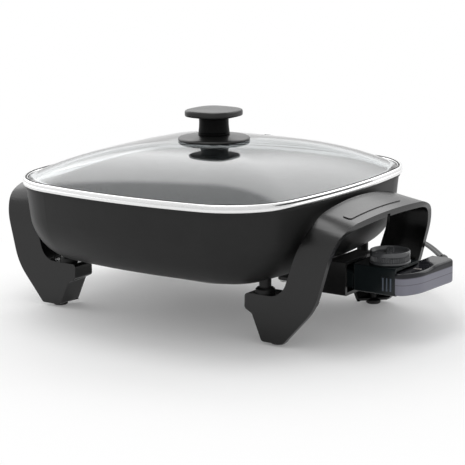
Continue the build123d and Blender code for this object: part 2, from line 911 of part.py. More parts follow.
with BuildPart() as control_front:
    with BuildSketch(Plane.XY.offset(front_base)) as front_plan:
        with Locations((front_x, 0)):
            Rectangle(front_end_x - front_x, 2 * front_half, align=(Align.MIN, Align.CENTER))
        fillet(front_plan.vertices().group_by(Axis.X)[0], 2 * front_edge)
    extrude(amount=front_top - front_base)
    for level in (0, -1):
        fillet(control_front.faces().sort_by(Axis.Z)[level].edges().sort_by(Axis.X)[:-1], front_edge)
    with BuildSketch(Plane.YZ.offset(nose_x)):
        with Locations((0, (nose_base + nose_top) / 2)):
            RectangleRounded(2 * nose_half, nose_top - nose_base, nose_edge)
    extrude(amount=front_x - nose_x)
    fillet(control_front.faces().sort_by(Axis.X)[0].edges(), nose_edge / 3)
    with BuildSketch(Plane.YZ.offset(cavity_x)):
        with Locations((0, (front_base + front_top) / 2)):
            Rectangle(2 * (front_half - front_wall), front_top - front_base - 2 * front_wall)
    extrude(amount=front_end_x - cavity_x, mode=Mode.SUBTRACT)
    with BuildSketch(Plane.YZ.offset(nose_x)):
        with Locations(*terminal_places):
            Circle(pin_diameter / 2 + plug_gap)
        with Locations((0, terminal_z)):
            Circle(probe_diameter / 2 + screw_gap)
    extrude(amount=cavity_x - nose_x, mode=Mode.SUBTRACT)
    with BuildSketch(Plane.YZ.offset(socket_start_x)):
        with Locations(*terminal_places):
            Circle(socket_diameter / 2 + screw_gap)
    extrude(amount=cavity_x - socket_start_x, mode=Mode.SUBTRACT)
    with BuildSketch(Plane.XY.offset(front_top)):
        with Locations((dial_x, 0)):
            Circle(shaft_diameter / 2 + running_gap)
    extrude(amount=-front_wall, mode=Mode.SUBTRACT)
    with BuildSketch(Plane.XZ.offset(front_half)):
        with GridLocations(rib_pitch, 0, 3, 1):
            with Locations((rib_x + rib_pitch, rib_z)):
                SlotOverall(rib_height, rib_width, rotation=90)
    extrude(amount=rib_proud)
save(control_front.part, "control_front")

# Probe that reads the pan's heat
with BuildPart() as probe_rod:
    with BuildSketch(Plane.YZ.offset(probe_tip_x)):
        with Locations((0, terminal_z)):
            Circle(probe_diameter / 2)
    extrude(amount=frame_start_x - probe_tip_x)
    fillet(probe_rod.edges().group_by(Axis.X)[0], probe_diameter / 4)
save(probe_rod.part, "probe_rod")

# Sockets for the terminal pins, with flat tails inside the housing
with BuildPart() as terminal_sockets:
    with BuildSketch(Plane.YZ.offset(socket_start_x)):
        with Locations(*terminal_places):
            Circle(socket_diameter / 2)
    extrude(amount=cavity_x - socket_start_x)
    with BuildSketch(Plane.YZ.offset(socket_start_x)):
        with Locations(*terminal_places):
            Circle(pin_diameter / 2 + plug_gap)
    extrude(amount=socket_bore_length, mode=Mode.SUBTRACT)
    with BuildSketch(Plane.YZ.offset(cavity_x)):
        with Locations(*terminal_places):
            Rectangle(socket_tail_thickness, socket_tail_width)
    extrude(amount=socket_tail)
save(terminal_sockets.part, "terminal_sockets")

# Thermostat: a bent frame behind the probe, and two blades clamped between ceramic layers
stack_x = frame_start_x + frame_length - stack_length
lower_blade_z = cavity_floor + frame_sheet + stack_layers[0]
upper_blade_z = lower_blade_z + blade_thickness + stack_layers[1]
stack_cap_z = upper_blade_z + blade_thickness
button_height = (stack_layers[1] - button_gap) / 2
button_x = stack_x + stack_length - blade_length + button_inset

with BuildPart() as thermostat_frame:
    with BuildSketch(Plane.XZ.offset(-frame_half)):
        with BuildLine():
            Polyline(
                (frame_start_x, cavity_floor),
                (frame_start_x + frame_length, cavity_floor),
                (frame_start_x + frame_length, cavity_floor + frame_sheet),
                (frame_start_x + frame_sheet, cavity_floor + frame_sheet),
                (frame_start_x + frame_sheet, cavity_floor + frame_upright),
                (frame_start_x, cavity_floor + frame_upright),
                close=True,
            )
        make_face()
    extrude(amount=2 * frame_half)
save(thermostat_frame.part, "thermostat_frame")

with BuildPart() as contact_stack:
    for base, thickness in zip(
        (cavity_floor + frame_sheet, lower_blade_z + blade_thickness, stack_cap_z), stack_layers
    ):
        with BuildSketch(Plane.XY.offset(base)):
            with Locations((stack_x, 0)):
                Rectangle(stack_length, stack_width, align=(Align.MIN, Align.CENTER))
        extrude(amount=thickness)
save(contact_stack.part, "contact_stack")

with BuildPart() as contact_blades:
    for base, button_base in (
        (lower_blade_z, lower_blade_z + blade_thickness),
        (upper_blade_z, upper_blade_z - button_height),
    ):
        with BuildSketch(Plane.XY.offset(base)):
            with Locations((stack_x + stack_length, 0)):
                Rectangle(blade_length, blade_width, align=(Align.MAX, Align.CENTER))
        extrude(amount=blade_thickness)
        with BuildSketch(Plane.XY.offset(button_base)):
            with Locations((button_x, 0)):
                Circle(button_diameter / 2)
        extrude(amount=button_height)
save(contact_blades.part, "contact_blades")


def rear_plan(inset, height):
    """Plan of the control's rear part, with a tail for the cord, set in by a distance."""
    joint_y = front_half + tail_joint_gap
    corners = (
        (front_end_x, -front_half, 0),
        (near_bend_x, -front_half, near_bend_radius),
        (side_bend_x, side_bend_y, side_bend_radius),
        (tail_outer_x, tail_y, tail_corner_radius),
        (tail_inner_x, tail_y, tail_inner_radius),
        (tail_inner_x, joint_y, 0),
        (front_end_x, joint_y, 0),
    )
    with BuildSketch(Plane.XY.offset(height)) as plan:
        with BuildLine():
            FilletPolyline(
                *[(x, y) for x, y, radius in corners],
                radius=[radius for x, y, radius in corners],
                close=True,
            )
        make_face()
        if inset:
            offset(amount=-inset, kind=Kind.INTERSECTION, mode=Mode.REPLACE)
    return plan.sketch


def rear_side(drop):
    """Side view below the rear part's top, which swoops up from the deck to the tail."""
    middle = ((swoop_start_y + swoop_end_y) / 2, (rear_deck + tail_top) / 2 - drop)
    with BuildSketch(Plane.YZ) as side:
        with BuildLine():
            rise = TangentArc((swoop_start_y, rear_deck - drop), middle, tangent=(1, 0))
            TangentArc(middle, (swoop_end_y, tail_top - drop), tangent=rise % 1)
            Polyline(
                (swoop_end_y, tail_top - drop),
                (2 * tail_y, tail_top - drop),
                (2 * tail_y, rear_base),
                (-2 * tail_y, rear_base),
                (-2 * tail_y, rear_deck - drop),
                (swoop_start_y, rear_deck - drop),
            )
        make_face()
    return side.sketch


def outer_edges(edges):
    """The edges round the outside, without the lines across the top and the joint with the front housing."""
    past_joint = front_half + 2 * tail_joint_gap
    past_swoop = (swoop_end_y + tail_y) / 2
    outside = edges.filter_by(
        lambda edge: edge.center().X > front_end_x + tail_joint_gap or edge.center().Y > past_joint
    )
    lines_across = outside.filter_by(Axis.X).filter_by(lambda edge: edge.center().Y < past_swoop)
    return outside - lines_across


rear_screw_places = [(rear_screw_x, y) for y in rear_screw_y]
rear_floor = rear_base + rear_wall
joint_half = front_half - front_wall

# Heat control, lower rear shell
with BuildPart() as control_lower_shell:
    extrude(rear_plan(0, rear_base), amount=rear_split - rear_base)
    fillet(outer_edges(control_lower_shell.edges().group_by(Axis.Z)[0]), rear_edge)
    extrude(rear_plan(rear_wall, rear_floor), amount=rear_split - rear_floor, mode=Mode.SUBTRACT)
    with BuildSketch(Plane.XY.offset(rear_floor)):
        with Locations((front_end_x, 0)):
            Rectangle(2 * rear_wall, 2 * joint_half, align=(Align.MIN, Align.CENTER))
    extrude(amount=rear_split - rear_floor, mode=Mode.SUBTRACT)
    with BuildSketch(Plane.XY.offset(rear_floor)):
        with Locations(*rear_screw_places):
            Circle(rear_boss_diameter / 2)
    extrude(amount=rear_split - rear_floor)
    with BuildSketch(Plane.XY.offset(rear_base)):
        with Locations(*rear_screw_places):
            Circle(rear_screw_head / 2 + screw_gap)
    extrude(amount=rear_wall, mode=Mode.SUBTRACT)
    with BuildSketch(Plane.XY.offset(rear_floor)):
        with Locations(*rear_screw_places):
            Circle(rear_screw_diameter / 2 + screw_gap)
    extrude(amount=rear_split - rear_floor, mode=Mode.SUBTRACT)
save(control_lower_shell.part, "control_lower_shell")

# Heat control, upper rear shell
with BuildPart() as upper_hollow:
    extrude(rear_plan(rear_wall, rear_split), amount=tail_top - rear_split)
    extrude(rear_side(rear_wall), amount=2 * tail_outer_x, mode=Mode.INTERSECT)

with BuildPart() as upper_bosses:
    with BuildSketch(Plane.XY.offset(rear_split)):
        with Locations(*rear_screw_places):
            Circle(rear_boss_diameter / 2)
    extrude(amount=tail_top - rear_split)
    extrude(rear_side(rear_wall / 2), amount=2 * tail_outer_x, mode=Mode.INTERSECT)

with BuildPart() as control_upper_shell:
    extrude(rear_plan(0, rear_split), amount=tail_top - rear_split)
    extrude(rear_side(0), amount=2 * tail_outer_x, mode=Mode.INTERSECT)
    top_edges = control_upper_shell.edges().filter_by(lambda edge: edge.center().Z > rear_deck - screw_gap)
    fillet(outer_edges(top_edges), rear_edge)
    add(upper_hollow.part, mode=Mode.SUBTRACT)
    with BuildSketch(Plane.XY.offset(rear_split)):
        with Locations((front_end_x, 0)):
            Rectangle(2 * rear_wall, 2 * joint_half, align=(Align.MIN, Align.CENTER))
    extrude(amount=rear_deck - rear_wall - rear_split, mode=Mode.SUBTRACT)
    add(upper_bosses.part)
    with BuildSketch(Plane.XY.offset(rear_split)):
        with Locations(*rear_screw_places):
            Circle(rear_screw_diameter / 2 + screw_gap)
    extrude(amount=rear_screw_reach, mode=Mode.SUBTRACT)
    with BuildSketch(Plane.XY.offset(rear_deck)):
        with Locations((lens_x, lens_y)):
            Rectangle(lens_length + 2 * screw_gap, lens_width + 2 * screw_gap)
    extrude(amount=-rear_wall, mode=Mode.SUBTRACT)
    with BuildSketch(Plane.XZ.offset(-tail_y)):
        with Locations((relief_x, relief_z)):
            Circle(relief_neck_diameter / 2 + screw_gap)
    extrude(amount=rear_wall, mode=Mode.SUBTRACT)
save(control_upper_shell.part, "control_upper_shell")

with BuildPart() as shell_screws:
    for x, y in rear_screw_places:
        add(
            screw(
                (x, y, rear_floor),
                (0, 0, 1),
                rear_screw_diameter,
                rear_split + rear_screw_reach - screw_gap - rear_floor,
                rear_screw_head,
                rear_screw_head_height,
            )
        )
save(shell_screws.part, "shell_screws")

# Pilot light: a lens in the deck over a lamp that stands on the shell's floor
lens_seat = rear_deck - rear_wall

with BuildPart() as pilot_lens:
    with BuildSketch(Plane.XY.offset(lens_seat)):
        with Locations((lens_x, lens_y)):
            Rectangle(lens_length, lens_width)
    extrude(amount=rear_wall + lens_proud)
    fillet(pilot_lens.edges().group_by(Axis.Z)[-1], lens_proud / 2)
    with BuildSketch(Plane.XY.offset(lens_seat)):
        with Locations((lens_x, lens_y)):
            Rectangle(lens_length + 2 * lens_flange, lens_width + lens_flange)
    extrude(amount=-lens_flange)
save(pilot_lens.part, "pilot_lens")

with BuildPart() as pilot_lamp:
    with BuildSketch(Plane.XY.offset(rear_floor)):
        with Locations((lens_x, lens_y)):
            Circle(lamp_diameter / 2)
    extrude(amount=lens_seat - lens_flange - lamp_gap - rear_floor)
    fillet(pilot_lamp.edges().group_by(Axis.Z)[-1], lamp_diameter / 3)
save(pilot_lamp.part, "pilot_lamp")

# Dial with a knurled side, a recessed top and a grip bar across it
dial_base = front_top + dial_lift
recess_floor = dial_top - dial_recess
shaft_end = stack_cap_z + shaft_end_gap

with BuildPart() as control_dial:
    with BuildSketch(Plane.XY.offset(dial_base)):
        with Locations((dial_x, 0)):
            Circle(dial_skirt / 2)
    extrude(amount=dial_skirt_height)
    with BuildSketch(Plane.XY.offset(dial_base + dial_skirt_height)):
        with Locations((dial_x, 0)):
            Circle(dial_diameter / 2)
    extrude(amount=dial_top - dial_base - dial_skirt_height)
    fillet(control_dial.edges().group_by(Axis.Z)[-1], dial_edge)
    with BuildSketch(Plane.XY.offset(dial_top)):
        with Locations((dial_x, 0)):
            Circle(dial_diameter / 2 - dial_ring)
            Rectangle(dial_diameter, dial_grip_width, mode=Mode.SUBTRACT)
    extrude(amount=-dial_recess, mode=Mode.SUBTRACT)
    with BuildSketch(Plane.XY.offset(dial_base)):
        with Locations((dial_x, 0)):
            Circle(dial_diameter / 2 - dial_ring)
            Circle(dial_hub_diameter / 2, mode=Mode.SUBTRACT)
    extrude(amount=recess_floor - dial_floor - dial_base, mode=Mode.SUBTRACT)
    with BuildSketch(Plane.XY.offset(dial_base)):
        with Locations((dial_x, 0)):
            Circle(shaft_diameter / 2)
    extrude(amount=hub_depth, mode=Mode.SUBTRACT)
    with BuildSketch(Plane.XY.offset(dial_base + dial_skirt_height)):
        with Locations((dial_x, 0)):
            with PolarLocations(dial_diameter / 2, knurl_count):
                Circle(knurl_radius)
    extrude(amount=knurl_height, mode=Mode.SUBTRACT)
save(control_dial.part, "control_dial")

with BuildPart() as dial_shaft:
    with BuildSketch(Plane.XY.offset(shaft_end)):
        with Locations((dial_x, 0)):
            Circle(shaft_diameter / 2)
    extrude(amount=dial_base + hub_depth - shaft_end)
save(dial_shaft.part, "dial_shaft")

# Strain relief: a tapered boot that leads the cord out of the tail in a bend
def relief_plane(share):
    """Plane across the boot, at a share of the way along it."""
    turn = radians(relief_turn * share)
    at = (
        relief_x - relief_bend_radius * (1 - cos(turn)),
        tail_y + relief_bend_radius * sin(turn),
        relief_z,
    )
    return Plane(at, x_dir=(cos(turn), sin(turn), 0), z_dir=(-sin(turn), cos(turn), 0))


with BuildPart() as strain_relief:
    for step in range(relief_steps):
        share = step / (relief_steps - 1)
        with BuildSketch(relief_plane(share)):
            Circle((relief_root_diameter + share * (relief_tip_diameter - relief_root_diameter)) / 2)
    loft(ruled=True)
    with BuildSketch(Plane.XZ.offset(-tail_y)):
        with Locations((relief_x, relief_z)):
            Circle(relief_neck_diameter / 2)
    extrude(amount=rear_wall)
    with BuildSketch(Plane.XZ.offset(rear_wall - tail_y)):
        with Locations((relief_x, relief_z)):
            Circle(relief_collar_diameter / 2)
    extrude(amount=relief_collar_thickness)
save(strain_relief.part, "strain_relief")

# Cord from the boot down to the floor behind the pan
relief_tip = relief_plane(1)
coil_start = Vector(coil_x, coil_y - coil_outer_radius, coil_low_z)
cord_points = [
    relief_tip.origin,
    relief_tip.origin + relief_tip.z_dir * cord_first_run,
    *[Vector(point) for point in cord_route],
    coil_start,
]
cord_runs = [end - start for start, end in zip(cord_points, cord_points[1:])]
cord_bends = [
    bend_share * min(before.length, after.length) / tan(radians(before.get_angle(after)) / 2)
    for before, after in zip(cord_runs, cord_runs[1:])
]
print("cord runs", [round(run.length, 1) for run in cord_runs])
print("cord bend radii", [round(radius, 1) for radius in cord_bends])

with BuildLine() as cord_path:
    FilletPolyline(*cord_points, radius=cord_bends)
cord_wire = cord_path.wires()[0]

with BuildPart() as power_cord:
    with BuildSketch(relief_tip):
        Circle(cord_radius)
    sweep(path=cord_wire)
save(power_cord.part, "power_cord")


# Coil of the rest of the cord: in on the lower layer, out again on the upper one
def coil_place(turn):
    """Place on the coil after a number of turns, and the direction of the cord there."""
    radius = coil_outer_radius - coil_step * min(turn, coil_turns - turn)
    angle = radians(-90 - 360 * turn)
    climb = min(max(2 * (turn - coil_turns / 2) + 0.5, 0), 1)
    slope = 4 * coil_step / (2 * pi * radius) if climb == 0.5 else 0
    place = Vector(
        coil_x + radius * cos(angle),
        coil_y + radius * sin(angle),
        coil_low_z + coil_step * climb,
    )
    return place, Vector(sin(angle), -cos(angle), slope).normalized()


coil_quarters = [coil_place(step / 4) for step in range(round(4 * coil_turns) + 1)]
coil_end = coil_quarters[-1][0]
plug_root = coil_end - Vector(plug_lead, 0, 0)

with BuildLine() as coil_path:
    for (start, leave), (end, arrive) in zip(coil_quarters, coil_quarters[1:]):
        across = end - start
        along = across.dot(leave + arrive)
        bow = 2 * (1 - leave.dot(arrive))
        reach = (sqrt(along**2 + bow * across.dot(across)) - along) / bow
        middle = (start + end + (leave - arrive) * reach) / 2
        TangentArc(start, middle, tangent=leave)
        TangentArc(middle, end, tangent=(end - arrive * reach) - (start + leave * reach))
    Line(coil_end, plug_root)

coil_wire = coil_path.wires()[0]
coil_samples = [coil_wire.position_at(step / gap_samples) for step in range(gap_samples + 1)]
coil_apart = round(gap_samples * coil_outer_radius / coil_wire.length)
coil_gap = min(
    (first - second).length
    for index, first in enumerate(coil_samples)
    for second in coil_samples[index + coil_apart :]
)
print("coil gap", round(coil_gap - cord_diameter, 2))
print("cord length", round(cord_wire.length + coil_wire.length))

with BuildPart() as cord_coil:
    with BuildSketch(Plane(coil_start, z_dir=coil_quarters[0][1])):
        Circle(cord_radius)
    sweep(path=coil_wire)
save(cord_coil.part, "cord_coil")
for tube, wire in ((power_cord, cord_wire), (cord_coil, coil_wire)):
    print("cord volume share", round(tube.part.volume / (pi * cord_radius**2 * wire.length), 4))

# Tie round both layers of the coil, on its far side from the control
tie_inner = coil_outer_radius - coil_step * (1 + tie_turn) - cord_radius - tie_gap
tie_outer = coil_outer_radius - coil_step * tie_turn + cord_radius + tie_gap
tie_base = coil_low_z - cord_radius - tie_gap
tie_top = coil_high_z + cord_radius + tie_gap
tie_centre = (coil_x - (tie_inner + tie_outer) / 2, (tie_base + tie_top) / 2)

with BuildPart() as cord_tie:
    with BuildSketch(Plane.XZ.offset(-coil_y - tie_width / 2)):
        with Locations(tie_centre):
            RectangleRounded(
                tie_outer - tie_inner + 2 * tie_thickness, tie_top - tie_base + 2 * tie_thickness, cord_radius
            )
            RectangleRounded(
                tie_outer - tie_inner, tie_top - tie_base, cord_radius - tie_thickness, mode=Mode.SUBTRACT
            )
    extrude(amount=tie_width)
    with BuildSketch(Plane.XY.offset(tie_top + tie_thickness)):
        with Locations((tie_centre[0], coil_y)):
            RectangleRounded(tie_head, tie_width, tie_thickness)
    extrude(amount=tie_head_height)
save(cord_tie.part, "cord_tie")

# Mains plug beside the coil
plug_face_x = plug_root.X - plug_length
plug_height = 2 * coil_high_z

with BuildPart() as plug_body:
    with BuildSketch(Plane.YZ.offset(plug_face_x)):
        with Locations((plug_root.Y, plug_root.Z)):
            RectangleRounded(plug_width, plug_height, plug_edge)
    extrude(amount=plug_length - plug_taper)
    with BuildSketch(Plane.YZ.offset(plug_root.X - plug_taper)):
        with Locations((plug_root.Y, plug_root.Z)):
            RectangleRounded(plug_width, plug_height, plug_edge)
    with BuildSketch(Plane.YZ.offset(plug_root.X)):
        with Locations((plug_root.Y, plug_root.Z)):
            RectangleRounded(plug_neck, plug_neck, plug_edge)
    loft()
save(plug_body.part, "plug_body")

with BuildPart() as plug_blades:
    with BuildSketch(Plane.YZ.offset(plug_face_x)):
        with Locations((plug_root.Y, plug_root.Z)):
            with GridLocations(blade_pin_spacing, 0, 2, 1):
                Rectangle(blade_pin_thickness, blade_pin_height)
    extrude(amount=-blade_pin_length)
    chamfer(plug_blades.faces().sort_by(Axis.X)[:2].edges(), blade_pin_thickness / 4)
save(plug_blades.part, "plug_blades")
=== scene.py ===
"""Looks of the electric skillet: materials, light, camera and finer meshes for the pieces that show most."""

import math

import bmesh
import bpy
from mathutils import Matrix, Vector


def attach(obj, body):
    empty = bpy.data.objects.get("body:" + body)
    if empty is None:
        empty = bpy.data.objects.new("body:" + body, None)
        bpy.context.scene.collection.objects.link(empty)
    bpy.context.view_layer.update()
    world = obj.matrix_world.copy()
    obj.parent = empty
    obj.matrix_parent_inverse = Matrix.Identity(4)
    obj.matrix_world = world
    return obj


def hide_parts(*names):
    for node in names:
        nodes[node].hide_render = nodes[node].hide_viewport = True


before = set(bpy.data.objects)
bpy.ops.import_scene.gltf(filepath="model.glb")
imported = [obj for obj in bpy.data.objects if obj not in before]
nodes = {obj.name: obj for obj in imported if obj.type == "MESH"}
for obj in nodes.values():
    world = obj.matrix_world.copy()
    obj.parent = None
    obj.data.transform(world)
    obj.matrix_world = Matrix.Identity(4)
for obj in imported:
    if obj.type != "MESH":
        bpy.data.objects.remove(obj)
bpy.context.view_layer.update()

MM = 0.001
UPWARD = Vector((0, 0, 1))

# Sizes in millimetres, as in the solids
lid_half, lid_bow, lid_corner = 157.0, 16.5, 72.0
glass_half, glass_top, glass_thickness = 155.5, 130.7, 3.2
glass_edge_width = 5.0
dome_rise, dome_power, dome_start = 31.3, 2.6, 0.03
cap_half, cap_bow, cap_corner = 25.5, 4.0, 17.0
dial_x, dial_base = 193.7, 65.9
relief_x, relief_y, relief_z = 215.5, 54.0, 55.6
relief_bend, relief_turn = 35.0, math.radians(40)

# The top of each grip leans outwards, most in the middle of its length and only over a band of heights
grip_lean, grip_dip = 0.1, 0.18
lean_start, lean_half_length = 160.0, 80.0
lean_low, lean_high = 96.0, 114.0
lean_cuts, lean_first_cut, lean_cut_step = 17, 100.0, 6.0

# Plates inside the legs: lowest, highest, from where along X, from where along Y, and slant
leg_plates = ((40.0, 46.0, 150.0, 87.8, 1.6), (2.0, 7.0, 136.5, 89.8, 1.1))

# Points round a ring
rim_sides, dome_sides, knob_sides, stem_sides = 240, 192, 128, 96
dome_levels = 30

# Angles from which an edge counts as a crease, on new pieces and on rounded ones
new_crease, soft_crease = math.radians(50), math.radians(40)


# Shader groups, and the numbers of the colour sockets on a Mix node
mix_first, mix_second, mix_result = 6, 7, 2


def new_group(name, inputs, outputs):
    """An empty shader group with its sockets."""
    group = bpy.data.node_groups.new(name, "ShaderNodeTree")
    for label, kind in inputs:
        group.interface.new_socket(name=label, in_out="INPUT", socket_type=kind)
    for label, kind in outputs:
        group.interface.new_socket(name=label, in_out="OUTPUT", socket_type=kind)
    return group, group.nodes.new("NodeGroupInput"), group.nodes.new("NodeGroupOutput")


def moulded_group():
    """A moulded or cast surface: clouded colour, uneven gloss and a fine grain."""
    group, given, out = new_group(
        "moulded",
        (
            ("Colour", "NodeSocketColor"),
            ("Second colour", "NodeSocketColor"),
            ("Cloud scale", "NodeSocketFloat"),
            ("Grain scale", "NodeSocketFloat"),
            ("Gloss low", "NodeSocketFloat"),
            ("Gloss high", "NodeSocketFloat"),
            ("Grain depth", "NodeSocketFloat"),
        ),
        (("Colour", "NodeSocketColor"), ("Roughness", "NodeSocketFloat"), ("Normal", "NodeSocketVector")),
    )
    add, link = group.nodes.new, group.links.new
    place = add("ShaderNodeTexCoord")
    cloud, grain = add("ShaderNodeTexNoise"), add("ShaderNodeTexNoise")
    cloud.inputs["Detail"].default_value = 4
    mix = add("ShaderNodeMix")
    mix.data_type = "RGBA"
    gloss = add("ShaderNodeMapRange")
    bump = add("ShaderNodeBump")
    bump.inputs["Distance"].default_value = 0.0004
    for texture, scale in ((cloud, "Cloud scale"), (grain, "Grain scale")):
        link(place.outputs["Object"], texture.inputs["Vector"])
        link(given.outputs[scale], texture.inputs["Scale"])
    link(cloud.outputs["Fac"], mix.inputs["Factor"])
    link(given.outputs["Colour"], mix.inputs[mix_first])
    link(given.outputs["Second colour"], mix.inputs[mix_second])
    link(cloud.outputs["Fac"], gloss.inputs["Value"])
    link(given.outputs["Gloss low"], gloss.inputs["To Min"])
    link(given.outputs["Gloss high"], gloss.inputs["To Max"])
    link(grain.outputs["Fac"], bump.inputs["Height"])
    link(given.outputs["Grain depth"], bump.inputs["Strength"])
    link(mix.outputs[mix_result], out.inputs["Colour"])
    link(gloss.outputs["Result"], out.inputs["Roughness"])
    link(bump.outputs["Normal"], out.inputs["Normal"])
    return group


def height_group():
    """Painted light and shade on one plastic: one colour above a height as painted shade on the top, a
    lighter one below it as painted light on the sides, with a thin painted shade line along the seam between
    two shells.
    """
    group, given, out = new_group(
        "painted_shell_light_shade",
        (
            ("Upper", "NodeSocketColor"),
            ("Lower", "NodeSocketColor"),
            ("Change start", "NodeSocketFloat"),
            ("Change end", "NodeSocketFloat"),
            ("Seam height", "NodeSocketFloat"),
            ("Seam half width", "NodeSocketFloat"),
            ("Painted seam shade", "NodeSocketFloat"),
        ),
        (("Colour", "NodeSocketColor"),),
    )
    add, link = group.nodes.new, group.links.new
    place, split = add("ShaderNodeTexCoord"), add("ShaderNodeSeparateXYZ")
    share, mix = add("ShaderNodeMapRange"), add("ShaderNodeMix")
    near, shade = add("ShaderNodeMath"), add("ShaderNodeMapRange")
    darker = add("ShaderNodeVectorMath")
    share.interpolation_type = "SMOOTHSTEP"
    mix.data_type = "RGBA"
    near.operation, darker.operation = "COMPARE", "SCALE"
    link(place.outputs["Object"], split.inputs[0])
    # Height mask: the dark top is painted shade and the lighter sides are painted light
    link(split.outputs["Z"], share.inputs["Value"])
    link(given.outputs["Change start"], share.inputs["From Min"])
    link(given.outputs["Change end"], share.inputs["From Max"])
    link(share.outputs["Result"], mix.inputs["Factor"])
    link(given.outputs["Lower"], mix.inputs[mix_first])
    link(given.outputs["Upper"], mix.inputs[mix_second])
    # Seam mask: a thin band darkened as painted shade between the two shells
    link(split.outputs["Z"], near.inputs[0])
    link(given.outputs["Seam height"], near.inputs[1])
    link(given.outputs["Seam half width"], near.inputs[2])
    link(near.outputs[0], shade.inputs["Value"])
    shade.inputs["To Min"].default_value = 1.0
    link(given.outputs["Painted seam shade"], shade.inputs["To Max"])
    link(mix.outputs[mix_result], darker.inputs[0])
    link(shade.outputs["Result"], darker.inputs["Scale"])
    link(darker.outputs[0], out.inputs["Colour"])
    return group


def inside_group():
    """One on faces that look up or towards the middle, as the inside of a pan does, and nought outside."""
    group, _, out = new_group("inside_share", (), (("Share", "NodeSocketFloat"),))
    add, link = group.nodes.new, group.links.new
    place = add("ShaderNodeTexCoord")
    level, outward, lean = (add("ShaderNodeVectorMath") for _ in range(3))
    split, facing = add("ShaderNodeSeparateXYZ"), add("ShaderNodeMath")
    share = add("ShaderNodeMapRange")
    level.operation, outward.operation, lean.operation = "MULTIPLY", "NORMALIZE", "DOT_PRODUCT"
    level.inputs[1].default_value = (1, 1, 0)
    facing.operation = "SUBTRACT"
    link(place.outputs["Object"], level.inputs[0])
    link(level.outputs[0], outward.inputs[0])
    link(outward.outputs[0], lean.inputs[0])
    link(place.outputs["Normal"], lean.inputs[1])
    link(place.outputs["Normal"], split.inputs[0])
    link(lean.outputs["Value"], facing.inputs[0])
    link(split.outputs["Z"], facing.inputs[1])
    share.inputs["From Min"].default_value = -0.2
    share.inputs["From Max"].default_value = -0.4
    link(facing.outputs[0], share.inputs["Value"])
    link(share.outputs["Result"], out.inputs["Share"])
    return group


moulded = moulded_group()
inside_share = inside_group()
painted_shell_light_shade = height_group()


def use_group(tree, group, values):
    """The group placed in a material, with its own values."""
    placed = tree.nodes.new("ShaderNodeGroup")
    placed.node_tree = group
    for label, value in values.items():
        placed.inputs[label].default_value = value
    return placed


def material(name, first, second, gloss, grain, depth, **constants):
    """A Principled material on the moulded surface; the constants are its own sockets."""
    made = bpy.data.materials.new(name)
    made.use_nodes = True
    tree = made.node_tree
    shader = tree.nodes["Principled BSDF"]
    surface = use_group(
        tree,
        moulded,
        {
            "Colour": (*first, 1),
            "Second colour": (*second, 1),
            "Cloud scale": 40,
            "Grain scale": grain,
            "Gloss low": gloss[0],
            "Gloss high": gloss[1],
            "Grain depth": depth,
        },
    )
    for label, socket in (("Colour", "Base Color"), ("Roughness", "Roughness"), ("Normal", "Normal")):
        tree.links.new(surface.outputs[label], shader.inputs[socket])
    for label, value in constants.items():
        shader.inputs[label.replace("_", " ")].default_value = value
    return made


def grey(value):
    return (value, value, value)


coating = material(
    "pan_coating", grey(0.018), grey(0.024), (0.36, 0.46), 1500, 0.05, Specular_IOR_Level=0.15
)
phenolic = material(
    "handle_phenolic", grey(0.003), grey(0.004), (0.18, 0.25), 900, 0.03, Specular_IOR_Level=0.42
)
knob_black = material(
    "knob_plastic", grey(0.010), grey(0.015), (0.26, 0.34), 1200, 0.08, Specular_IOR_Level=0.34
)
# A darker, duller copy of the knob's plastic for its stem: painted shade under the cap
stem_painted_shade = material(
    "knob_stem", grey(0.002), grey(0.004), (0.35, 0.45), 1200, 0.1, Specular_IOR_Level=0.06
)
stand_black = material(
    "stand_plastic", grey(0.004), grey(0.007), (0.4, 0.5), 1200, 0.15, Specular_IOR_Level=0.25
)
control_black = material(
    "control_black",
    (0.008, 0.011, 0.012),
    (0.012, 0.016, 0.017),
    (0.14, 0.22),
    1000,
    0.05,
    Specular_IOR_Level=0.35,
)
# A lighter copy of the control's black for the shroud: painted light where it sits in shade under the pan
shroud_painted_light_black = material(
    "shroud_painted_light_black", grey(0.014), grey(0.02), (0.2, 0.28), 1000, 0.05, Specular_IOR_Level=0.35
)
control_grey = material(
    "control_grey", grey(0.1), grey(0.1), (0.1, 0.16), 1000, 0.04, Specular_IOR_Level=0.22
)
vinyl = material(
    "cord_vinyl", grey(0.006), grey(0.010), (0.24, 0.34), 1400, 0.05, Specular_IOR_Level=0.2
)
# A lighter bluish grey for the side ribs: painted highlight along them
rib_highlight_grey = material("rib_highlight_grey", (0.06, 0.075, 0.1), (0.08, 0.1, 0.13), (0.2, 0.3), 1000, 0.05)
smoke = material("dial_smoke", (0.062, 0.064, 0.068), (0.082, 0.084, 0.088), (0.16, 0.24), 900, 0.05)
lens_grey = material("pilot_lens", (0.26, 0.24, 0.23), (0.3, 0.28, 0.27), (0.1, 0.18), 900, 0.03)
ceramic = material("ceramic", (0.8, 0.78, 0.72), (0.86, 0.84, 0.8), (0.3, 0.4), 900, 0.1)
rubber = material("foot_rubber", grey(0.01), grey(0.018), (0.6, 0.75), 1600, 0.4)
# A dark material for the ring in the groove between rim and glass: painted shade in the gap
groove_shade_black = material("groove_shade_ring", grey(0.012), grey(0.02), (0.45, 0.6), 1600, 0.2)
steel = material("polished_steel", grey(0.8), grey(0.86), (0.16, 0.26), 700, 0.02, Metallic=1.0)
zinc = material("zinc_plate", grey(0.5), grey(0.62), (0.28, 0.42), 900, 0.15, Metallic=1.0)
dull_steel = material("dull_steel", grey(0.3), grey(0.42), (0.35, 0.5), 1200, 0.2, Metallic=1.0)
cast = material("cast_aluminium", grey(0.5), grey(0.62), (0.4, 0.55), 700, 0.5, Metallic=1.0)
brass = material("brass", (0.72, 0.52, 0.22), (0.8, 0.6, 0.28), (0.22, 0.34), 900, 0.1, Metallic=1.0)
